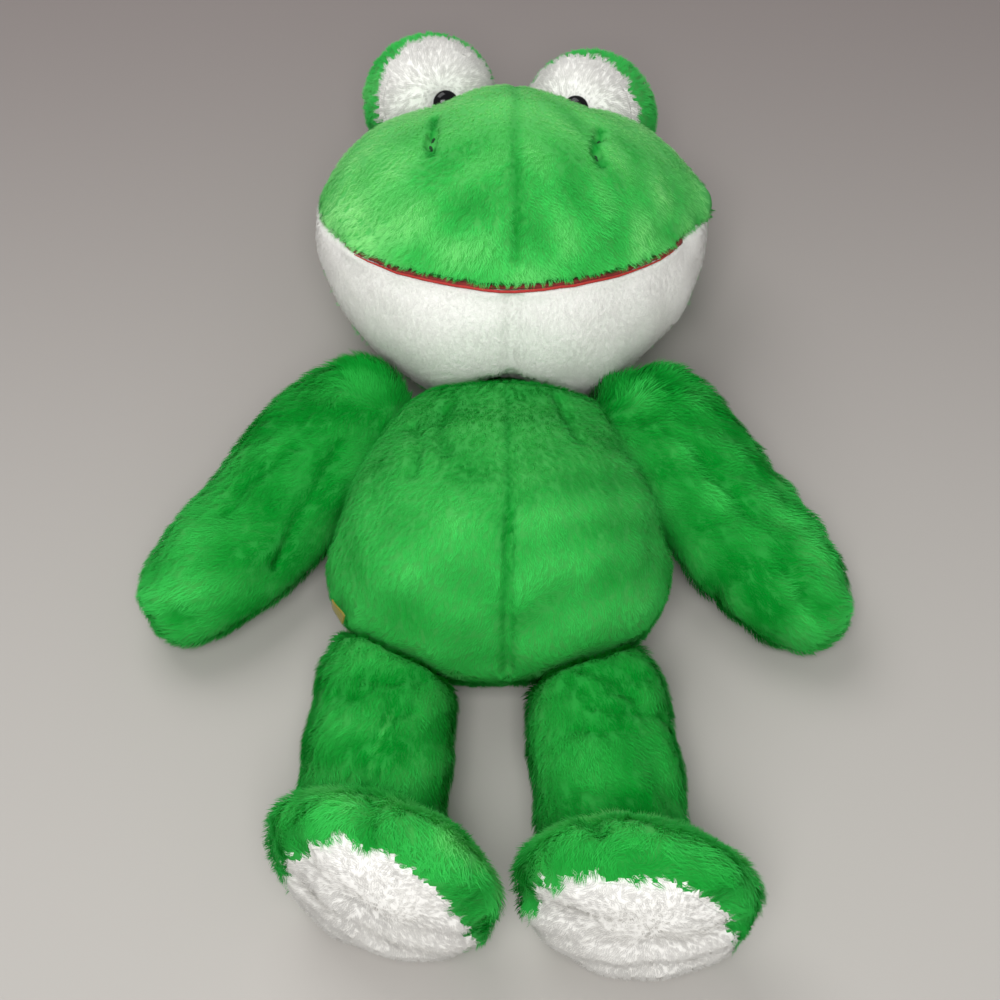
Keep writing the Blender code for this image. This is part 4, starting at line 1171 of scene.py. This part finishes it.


def grow(name, cloth_name, mesh, length, density, lay, stray, seed, bloom):
    """Plant pile on the faces of a mesh and make it one piece on the cloth's body."""
    _, body, form, _ = cloth[cloth_name]
    white = is_white(cloth_name)
    steered = steer(mesh, form, body, length, bloom, lay, seed)
    if not white:
        tones.setdefault(form, []).append(steered)
    mesh.shade_smooth()
    item = add_object(name, mesh)
    step = item.modifiers.new("pile", "NODES")
    step.node_group = planting
    values = {"Lock": lock, "Density": DENSITY * density, "Seed": seed, "Stray": stray}
    for socket in planting.interface.items_tree:
        if socket.item_type == "SOCKET" and socket.name in values:
            step[socket.identifier] = values[socket.name]
    applied(item)
    dress(item, white_pile if white else green_pile, body, "white_pile" if white else "green_pile")
    made = item.data
    bake_map(made)
    softness = WHITE_SOFTNESS if white else GREEN_SOFTNESS
    outward = vectors(made.attributes["outward"].data, "vector")
    soft = normals(made) * (1 - softness) + outward * softness
    soft /= np.linalg.norm(soft, axis=1)[:, None]
    made.normals_split_custom_set_from_vertices(soft)
    for extra in ("root", "outward", "lay", "pile", "across"):
        made.attributes.remove(made.attributes[extra])
    counts[name] = len(made.polygons)

# %% [markdown]
# ## Shorn and parted lines, and lines of painted shade
# Along the mouth, round the eyes and at the end of the belly's seam the pile is cut short, so that what
# lies there shows. Along a line on the right leg it parts and is painted paler. In the nostril creases and
# at the end of the belly's seam it is painted darker, as painted shade.

# %% List the shorn, parted and shaded lines
shorn = {                # path, width and the share of the length that is cut
    "head_upper": [(mouth_line, 4.0 * MM, 0.40)],
    "jaw": [(mouth_line, 5.0 * MM, 0.60)],
    "torso": [(seam_end, 1.5 * MM, 0.60)],
}
for side, seat in eye_seats.items():
    shorn[side + "_bump"] = [(seat, 9.5 * MM, 0.88)]
nostril_lines = [(onto("head_upper", places), 2.2 * MM) for places in NOSTRILS.values()]
shorn["head_upper"] += [(path, width, 0.5) for path, width in nostril_lines]
pale_seam = onto("right_leg", ((-42, -103, 60), (-44, -110, 60), (-47, -120, 60), (-50, -130, 60)))
partings_and_shade = {             # path, width and how much paler; below 0, how much painted shade
    "right_leg": [(pale_seam, 1.2 * MM, 0.65)],
    "torso": [(seam_end, 1.6 * MM, -0.4)],
    "head_upper": [(path, width, -0.9) for path, width in nostril_lines],
}
print("shorn", {form: len(lines) for form, lines in shorn.items()})

# %% [markdown]
# ## Brush directions
# A lay is a direction at each point. Most pile runs down the toy. On the broad forms it also opens to
# both sides, and on the round ones it runs away from one point.

# %% Brush directions
def steady(x, y, z):
    return lambda points: np.tile(np.array((x, y, z), float), (len(points), 1))


def fanned(middle_x, spread, y, z=0.0):
    """Down the toy, opening to both sides of a middle line."""
    def lay(points):
        side = np.clip((points[:, 0] - middle_x) / spread, -1.2, 1.2)
        return np.stack((side, np.full(len(points), y), np.full(len(points), z)), axis=1)
    return lay


def from_point(centre, extra=(0.0, 0.0, 0.0)):
    """Away from a point, with an even push added."""
    def lay(points):
        away = points - np.array(centre)
        return away / np.linalg.norm(away, axis=1)[:, None] + np.array(extra)
    return lay


def along(points):
    """How far up the toy each point lies, from its middle towards the crown."""
    return points[:, 1] - MIDDLE_Y


def aside(points):
    """How far out from the toy's middle line each point lies."""
    return np.abs(points[:, 0] - MIDDLE_X)

# %% [markdown]
# ## Torso pile
# The belly's pile is short and dense, and painted palest on its crown as highlight. The front is planted
# in two halves to keep each piece small. The back is seldom seen and gets thinner pile, of the same length
# where the two meet.

# %% Grow the torso's pile
TORSO_PARTING = 0.022    # the height where the front's pile meets the back's
TORSO_BACK_PILE = 5.2    # in millimetres


def belly_painted_light(points):
    """Palest on the crown of the belly as painted highlight, deep near the neck as painted shade under the
    jaw.
    """
    return 0.05 + 0.22 * smoothstep(0.045, 0.0, along(points))


def belly_length(points):
    """Short on the belly, and as long as on the back where the two meet."""
    return (TORSO_BACK_PILE - 1.8 * smoothstep(TORSO_PARTING, 0.045, points[:, 2])) * MM


torso = forms["torso"]
torso_lay = fanned(MIDDLE_X + 4 * MM, 60 * MM, -1.0)
for side, way in SIDES:
    front = outer_faces("torso_cloth", torso, within(low=TORSO_PARTING, side=way))
    grow("torso_pile_front_" + side, "torso_cloth", front, belly_length, density=1.40, lay=torso_lay,
         stray=0.45, seed=11 + way, bloom=belly_painted_light)
grow("torso_pile_back", "torso_cloth", outer_faces("torso_cloth", torso, within(high=TORSO_PARTING)),
     TORSO_BACK_PILE * MM, density=0.42, lay=torso_lay, stray=0.45, seed=14, bloom=0.17)
print("torso", sum(counts.values()), "faces")

# %% [markdown]
# ## Head and jaw pile
# The snout's pile is shortest along its top, where hands stroke it, and painted palest there as highlight
# where the light falls. It is deep and longer above the mouth. The jaw has short white pile that runs down
# and forwards.

# %% Grow the head's pile
HEAD_PARTING = 0.055
HEAD_BACK_PILE = 4.8


def snout_length(points):
    """Short on top, longer towards the mouth, and as long as on the back where the two meet."""
    short = 2.4 * smoothstep(0.08, 0.16, along(points))
    return (HEAD_BACK_PILE - short * smoothstep(HEAD_PARTING, 0.085, points[:, 2])) * MM


def snout_painted_light(points):
    """Palest along the top of the snout and towards the toy's right cheek, as painted highlight where the
    light falls, deep above the mouth.
    """
    top = smoothstep(0.11, 0.18, along(points))
    right = smoothstep(0.02, 0.065, FACE_X - points[:, 0])
    left = 0.4 * smoothstep(0.03, 0.075, points[:, 0] - FACE_X)
    high = smoothstep(HEAD_PARTING, 0.080, points[:, 2])
    return 0.40 + 0.58 * high * np.maximum(np.maximum(top, 0.72 * right), left)


head_lay = fanned(FACE_X, 60 * MM, -1.0)
jaw_lay = fanned(FACE_X, 90 * MM, -0.7, -0.7)
for side, way in SIDES:
    front = outer_faces("head_upper_cloth", whole_head, within(low=HEAD_PARTING, side=way))
    grow("head_pile_front_" + side, "head_upper_cloth", front, snout_length, density=1.35, lay=head_lay,
         stray=0.45, seed=16 + way, bloom=snout_painted_light)
    rear = outer_faces("head_upper_cloth", whole_head, within(high=HEAD_PARTING, side=way))
    grow("head_pile_back_" + side, "head_upper_cloth", rear, HEAD_BACK_PILE * MM, density=0.42,
         lay=head_lay, stray=0.45, seed=19 + way, bloom=0.4)
    grow("jaw_pile_" + side, "jaw_cloth", outer_faces("jaw_cloth", whole_head, within(side=way)),
         2.8 * MM, density=1.5, lay=jaw_lay, stray=0.7, seed=22 + way, bloom=0.85)
print("head", sum(number for name, number in counts.items() if "torso" not in name), "faces")

# %% [markdown]
# ## Limbs, feet and eye bumps
# The limbs have the longest pile. On the arms it is brushed along to the hand, and at the shoulder up
# towards the chin, where it makes a tuft. On the feet and the eye bumps the white pile is short. The
# green one is short beside the seam, so that the white shows up to its edge, and grows longer behind it.

# %% Say how long and how pale the pile is
def shoulder(points):
    """1 at the upper side of the arm's root, 0 along the arm."""
    return smoothstep(0.030, 0.050, along(points))


def arm_lay(way):
    """Along the arm, but up towards the chin round the shoulder."""
    def lay(points):
        upward = smoothstep(0.085, 0.055, aside(points)) * shoulder(points)
        return np.stack((way * (0.9 - 0.7 * upward), -0.55 + 1.6 * upward, 0.2 * upward), axis=1)
    return lay


def arm_length(points):
    return (5.6 + 2.4 * smoothstep(0.100, 0.060, aside(points)) * shoulder(points)) * MM


def arm_painted_light(points):
    """Deep along the arm as painted shade, paler at the hand as painted sheen."""
    return 0.02 + 0.26 * smoothstep(0.100, 0.135, aside(points))


def behind(seam, near, far):
    """A function of points: 0 near a seam's plane, 1 from far behind it."""
    spot, direction = (np.array(vector) for vector in seam)
    return lambda points: smoothstep(near * MM, far * MM, -(points - spot) @ direction)


def upper_length(seam):
    """Long over the instep, short beside the sole."""
    instep = behind(seam, 2, 14)
    return lambda points: (5.0 + 1.8 * smoothstep(0.02, 0.06, points[:, 2]) * instep(points)) * MM


def upper_painted_light(seam):
    """Deep beside the sole, paler towards the instep as painted sheen."""
    return lambda points: 0.15 + 0.35 * behind(seam, 6, 24)(points)


def hood_length(seam):
    return lambda points: (2.8 + 2.0 * behind(seam, 3, 14)(points)) * MM

# %% [markdown]
# ## Planting limbs, feet and eye bumps
# Sole and eye white run out from the middle of their panels, the upper from a point over the instep, and
# the legs straight down. When all the pile stands, the forms and the lock it came from are removed.

# %% Grow the pile of the limbs, the feet and the eye bumps
for side, way in SIDES:
    arm, leg, foot, bump, eye = (side + part for part in ("_arm", "_leg", "_foot", "_bump", "_eye"))
    grow(arm + "_pile", arm + "_cloth", outer_faces(arm + "_cloth", forms[arm]), arm_length, density=0.90,
         lay=arm_lay(way), stray=0.5, seed=30 + way, bloom=arm_painted_light)
    grow(leg + "_pile", leg + "_cloth", outer_faces(leg + "_cloth", forms[leg]), 5.4 * MM, density=0.93,
         lay=steady(way * 0.25, -1.0, 0.1), stray=0.5, seed=40 + way, bloom=0.10)
    middle = sum((Vector(corner) for corner in forms[foot].bound_box), Vector()) / 8
    grow(foot + "_upper_pile", foot + "_upper_cloth", side_of_seam(foot, False), upper_length(seams[foot]),
         density=1.0, lay=from_point(middle + Vector((0.0, 0.03, 0.0)), (0.0, 0.1, 0.0)), stray=0.5,
         seed=50 + way, bloom=upper_painted_light(seams[foot]))
    grow(foot + "_sole_pile", foot + "_sole_cloth", side_of_seam(foot, True), 3.0 * MM, density=1.5,
         lay=from_point(middle + Vector((0.0, 0.0, 0.01))), stray=0.7, seed=70 + way, bloom=0.15)
    spot, direction = seams[bump]
    grow(eye + "_hood_pile", eye + "_hood_cloth", side_of_seam(bump, False), hood_length(seams[bump]),
         density=0.85, lay=from_point(spot + direction * 10 * MM), stray=0.6, seed=80 + way, bloom=0.42)
    grow(eye + "_white_pile", eye + "_white_cloth", side_of_seam(bump, True), 3.2 * MM, density=1.6,
         lay=from_point(spot + direction * 20 * MM), stray=0.4, seed=100 + way, bloom=0.10)
for item in (whole_head, lock, *(forms[form] for form in ragged_edges)):
    bpy.data.objects.remove(item, do_unlink=True)
print("pile:", sum(counts.values()), "faces in all", counts)

# %% [markdown]
# ## The backing's painted sheen
# The backing takes the painted sheen and shade of its pile: each of its vertices takes the value that the
# pile has at the nearest root. The jaw has no green pile, so its backing keeps the value 0.

# %% Give the backing the painted sheen and shade of its pile
def nearest_tones(mesh, form):
    places = np.concatenate([points for points, _ in tones[form]])
    levels = np.concatenate([paler for _, paler in tones[form]])
    finder = KDTree(len(places))
    for index, place in enumerate(places):
        finder.insert(place, index)
    finder.balance()
    return np.clip(levels[[finder.find(vert.co)[1] for vert in mesh.vertices]], 0.0, 1.0)


for item, _, form, _ in cloth.values():
    mark(item.data, "bloom",
         nearest_tones(item.data, form) if form in tones else np.zeros(len(item.data.vertices)))
print("backing dyed on", len(cloth), "pieces")

# %% [markdown]
# ## Eyes
# A locking eye is one moulding: a polished dome with a rolled foot that presses into the pile. Its
# outline is spun round the direction in which the eye looks. The plastic is almost black, with a gloss
# that small scratches make a little uneven.

# %% Spin the eyes
EYE_RADIUS = 6.0 * MM
EYE_HEIGHT = 4.8 * MM
EYE_FOOT = 1.4 * MM
DOME_STEPS = 12
SPIN_STEPS = 48

black_plastic, tree, shader = node_material("black_plastic")
wear = add_node(tree, "ShaderNodeTexNoise", {"Vector": object_place(tree), "Scale": 700.0})
gloss = add_node(tree, "ShaderNodeMapRange", {"Value": wear.outputs["Fac"], "To Min": 0.05, "To Max": 0.16})
feed(tree, shader, {"Roughness": gloss.outputs["Result"], "Base Color": rgba(0.003, 0.003, 0.004),
                    "Specular IOR Level": 0.3})

for side, (centre, axis) in eye_frames.items():
    seat = EYE_SEAT + EYE_DENT * MM
    outline = [(0.0, seat + EYE_HEIGHT)]
    for step in range(1, DOME_STEPS + 1):
        angle = math.pi / 2 * step / DOME_STEPS
        outline.append((EYE_RADIUS * math.sin(angle),
                        seat + EYE_FOOT + (EYE_HEIGHT - EYE_FOOT) * math.cos(angle)))
    outline += [(EYE_RADIUS * 0.97, seat + 0.6 * MM), (EYE_RADIUS * 0.85, seat), (0.0, seat)]
    bm = bmesh.new()
    verts = [bm.verts.new((radius, 0.0, height)) for radius, height in outline]
    lines = [bm.edges.new(pair) for pair in zip(verts, verts[1:])]
    bmesh.ops.spin(bm, geom=verts + lines, cent=(0, 0, 0), axis=(0, 0, 1), angle=2 * math.pi,
                   steps=SPIN_STEPS, use_merge=True)
    bmesh.ops.remove_doubles(bm, verts=bm.verts, dist=0.001 * MM)
    bmesh.ops.recalc_face_normals(bm, faces=bm.faces)
    turn = axis.to_track_quat("Z", "Y").to_matrix().to_4x4()
    bmesh.ops.transform(bm, matrix=Matrix.Translation(centre) @ turn, verts=bm.verts)
    button = bm_object(side + "_eye_button", bm)
    dress(button, black_plastic, "head", "black_plastic", side + "_eye")
    print(side, "eye", len(button.data.polygons), "faces")

# %% [markdown]
# ## Mouth lining
# The lining is the CAD's thin pocket, relaxed so that its edge is round. Its two ends are drawn in, so
# that they don't show beyond the corners of the mouth. Its red is darker than the lip's, as painted shade
# inside the mouth.

# %% Line the mouth
LINING_VOXEL = 0.8 * MM
LINING_ROUNDS = 2
LINING_ENDS = (0.060, 0.085)     # from here to here, out from the middle of the face
LINING_DRAWN_SHARE = 0.03

# darker red: painted shade inside the mouth
red_cloth = cloth_material("red_cloth", weave, (0.13, 0.006, 0.006), (0.24, 0.009, 0.008), 0.8, 0.1)
lining = relax(from_node("mouth_lining_cloth", "mouth_lining"), LINING_VOXEL, LINING_ROUNDS)
for vert in lining.data.vertices:
    out = vert.co.x - FACE_X
    vert.co.x -= LINING_DRAWN_SHARE * out * float(smoothstep(*LINING_ENDS, abs(out)))
dress(lining, red_cloth, "head", "red_cloth", "mouth_lining")
print("lining", len(lining.data.polygons), "faces")

# %% [markdown]
# ## Red lip
# A bead of the lining's cloth runs along the lower lip, where the lining is turned over the jaw. It is
# painted a brighter red than the lining, as the lit part of the same cloth. A curve with a round bevel
# gives it a radius of its own at each point, so that it thins out to the corners.

# %% Lay the lip's bead
BEAD_RADIUS = 0.60 * MM
BEAD_RISE = 0.35 * MM    # how far the bead stands over the lower lip
BEAD_AHEAD = 0.9 * MM


def tube(name, points, radii):
    """A closed round tube along a path, with its own radius at each point, as a mesh."""
    curve = bpy.data.curves.new(name, "CURVE")
    curve.dimensions = "3D"
    curve.bevel_depth = 1.0
    curve.bevel_resolution = 2
    curve.use_fill_caps = True
    line = curve.splines.new("POLY")
    line.points.add(len(points) - 1)
    for point, place, radius in zip(line.points, points, radii):
        point.co = (*place, 1.0)
        point.radius = radius
    shaped = add_object(name, curve)
    mesh = evaluated_mesh(shaped)
    bpy.data.objects.remove(shaped, do_unlink=True)
    return mesh


# brighter red: the lit part of the same cloth as the lining
red_lip = cloth_material("red_lip", weave, (0.30, 0.012, 0.010), (0.52, 0.025, 0.018), 0.75, 0.1)
bead_path, bead_radii = [], []
for index, spot in enumerate(mouth_line):
    across = abs(2 * index / (len(mouth_line) - 1) - 1)
    drop = LIP_OPENING * float(open_share(across)) - BEAD_RISE
    bead_path.append(spot + lip_way * BEAD_AHEAD - mouth_up * drop)
    bead_radii.append(BEAD_RADIUS * (1.05 - across ** 4))
bead = add_object("lip_bead", tube("lip_bead", bead_path[1:-1], bead_radii[1:-1]))
dress(bead, red_lip, "head", "red_cloth")
print("bead", len(bead.data.polygons), "faces")

# %% [markdown]
# ## Nostril stitches
# A few stitches of thick thread are drawn tight down the snout, and the cloth puckers round them. The
# thread is two plies twisted together, and each stitch dips into the cloth at both ends. Its near-black
# green is the thread's dark colour deepened with painted shade of the puckers.

# %% Sew the nostrils
PLY_RADIUS = 0.38 * MM
PLY_TWIST = 3.0 * MM     # the length in which the plies go round once
STITCH_LENGTH = 2.4 * MM
STITCH_STEPS = 10
STITCH_RISE, STITCH_DIP = 1.0, 0.3
STITCH_SLANT = 0.35      # the stitches lean to one side and the other in turn
OVERHEAD = 0.3           # the rays that look for the snout start this high

# near-black: dark green thread, deepened with painted shade of the puckers
green_thread = cloth_material("green_thread", weave, (0.001, 0.020, 0.004), (0.003, 0.055, 0.012), 0.8)
snout = tree_of(forms["head_upper"].data)


def ply_path(dent, slant, start):
    """One ply of a stitch, wound round the line of the stitch over the cloth."""
    points = []
    for step in range(STITCH_STEPS + 1):
        share = step / STITCH_STEPS
        ahead = (share - 0.5) * STITCH_LENGTH
        spot = snout.ray_cast(Vector((dent.x + slant * ahead, dent.y + ahead, OVERHEAD)), Vector(BELOW))[0]
        lift = (STITCH_RISE * math.sin(math.pi * share) - STITCH_DIP) * MM
        angle = 2 * math.pi * share * STITCH_LENGTH / PLY_TWIST + start
        offset = Vector((math.cos(angle), 0.0, math.sin(angle))) * PLY_RADIUS
        points.append(spot + Vector((0.0, 0.0, lift)) + offset)
    return points


for side, places in NOSTRILS.items():
    bm = bmesh.new()
    for number, dent in enumerate(shifted(*(places[index] for index in STITCH_DENTS[side]))):
        for start in (0.0, math.pi):
            points = ply_path(dent, STITCH_SLANT * (-1) ** number, start)
            bm.from_mesh(tube("ply", points, [PLY_RADIUS] * len(points)))
    bmesh.ops.recalc_face_normals(bm, faces=bm.faces)
    thread = bm_object(side + "_nostril_thread", bm)
    dress(thread, green_thread, "head", "green_thread", side + "_nostril_stitch")
    print(side, "nostril", len(thread.data.polygons), "faces")

# %% [markdown]
# ## Side tab
# A narrow satin ribbon is folded double and sewn into the hip seam by its two ends. Its outline is bent
# from an edge that is swept across the ribbon's width, and then given its thickness.

# %% Fold the tab
TAB_LENGTH = 9.0 * MM
TAB_WIDTH = 6.0 * MM
TAB_LAYER = 0.22 * MM
TAB_FOLD = 0.26 * MM     # half the distance between its two layers
TAB_CURL = 0.5 * MM
TAB_STEPS = 6
TAB_SHIFT = np.array((0.8, -5.0, 0.0)) * MM      # from the CAD's tab to where the photograph has it

corners = node_points("side_tag")
tab_middle = corners.mean(axis=0)
tab_wide, tab_long, tab_out = (Vector(row) for row in np.linalg.svd(corners - tab_middle)[2])
tab_out *= math.copysign(1.0, -tab_out.x)
tab_middle = tab_middle + TAB_SHIFT

bm = bmesh.new()
outline = [((step / TAB_STEPS - 0.5) * TAB_LENGTH, -TAB_FOLD) for step in range(TAB_STEPS + 1)]
for step in range(1, TAB_STEPS):
    angle = -math.pi / 2 + math.pi * step / TAB_STEPS
    outline.append((TAB_LENGTH / 2 + TAB_FOLD * math.cos(angle), TAB_FOLD * math.sin(angle)))
outline += [((0.5 - step / TAB_STEPS) * TAB_LENGTH, TAB_FOLD) for step in range(TAB_STEPS + 1)]
verts = [bm.verts.new((ahead, -TAB_WIDTH / 2, rise)) for ahead, rise in outline]
lines = [bm.edges.new(pair) for pair in zip(verts, verts[1:])]
for _ in range(TAB_STEPS):
    moved = bmesh.ops.extrude_edge_only(bm, edges=lines)["geom"]
    lines = [item for item in moved if isinstance(item, bmesh.types.BMEdge)]
    swept = [item for item in moved if isinstance(item, bmesh.types.BMVert)]
    bmesh.ops.translate(bm, vec=(0.0, TAB_WIDTH / TAB_STEPS, 0.0), verts=swept)
for vert in bm.verts:
    vert.co.z += TAB_CURL * math.sin(1.3 * vert.co.x / TAB_LENGTH * math.pi) * (vert.co.y / TAB_WIDTH + 0.5)
bmesh.ops.recalc_face_normals(bm, faces=bm.faces)
bmesh.ops.solidify(bm, geom=bm.faces[:], thickness=TAB_LAYER)
turn = Matrix((tab_long, tab_wide, tab_out)).transposed().to_4x4()
bmesh.ops.transform(bm, matrix=Matrix.Translation(tab_middle) @ turn, verts=bm.verts)
bmesh.ops.recalc_face_normals(bm, faces=bm.faces)
gold_satin = cloth_material("gold_satin", weave, (0.15, 0.12, 0.008), (0.28, 0.22, 0.020), 0.4, 0.1)
dress(bm_object("satin_tab", bm), gold_satin, "torso", "gold_satin", "side_tag")
print("tab", [round(float(v) / MM, 1) for v in tab_middle])

# %% [markdown]
# ## Lock washers
# The washers stay hidden behind the white cloth. Their CAD shape is right, so they only get the faintly
# cloudy look of moulded plastic.

# %% Finish the washers
washer_plastic = cloth_material("washer_plastic", weave, (0.62, 0.62, 0.60), (0.74, 0.74, 0.72), 0.45)
for side, _ in SIDES:
    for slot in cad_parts[side + "_eye_washer"].material_slots:
        slot.material = washer_plastic
print("washers have", washer_plastic.name)

# %% [markdown]
# ## Size
# The dressed toy has to keep the size of the CAD model. Both boxes are written down, so that they can be
# compared after each render.

# %% Write the boxes
low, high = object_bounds()
for label, (a, b) in (("cad", (cad_low, cad_high)), ("visual", (low, high))):
    print(label, [round(v / MM, 1) for v in a], [round(v / MM, 1) for v in b])
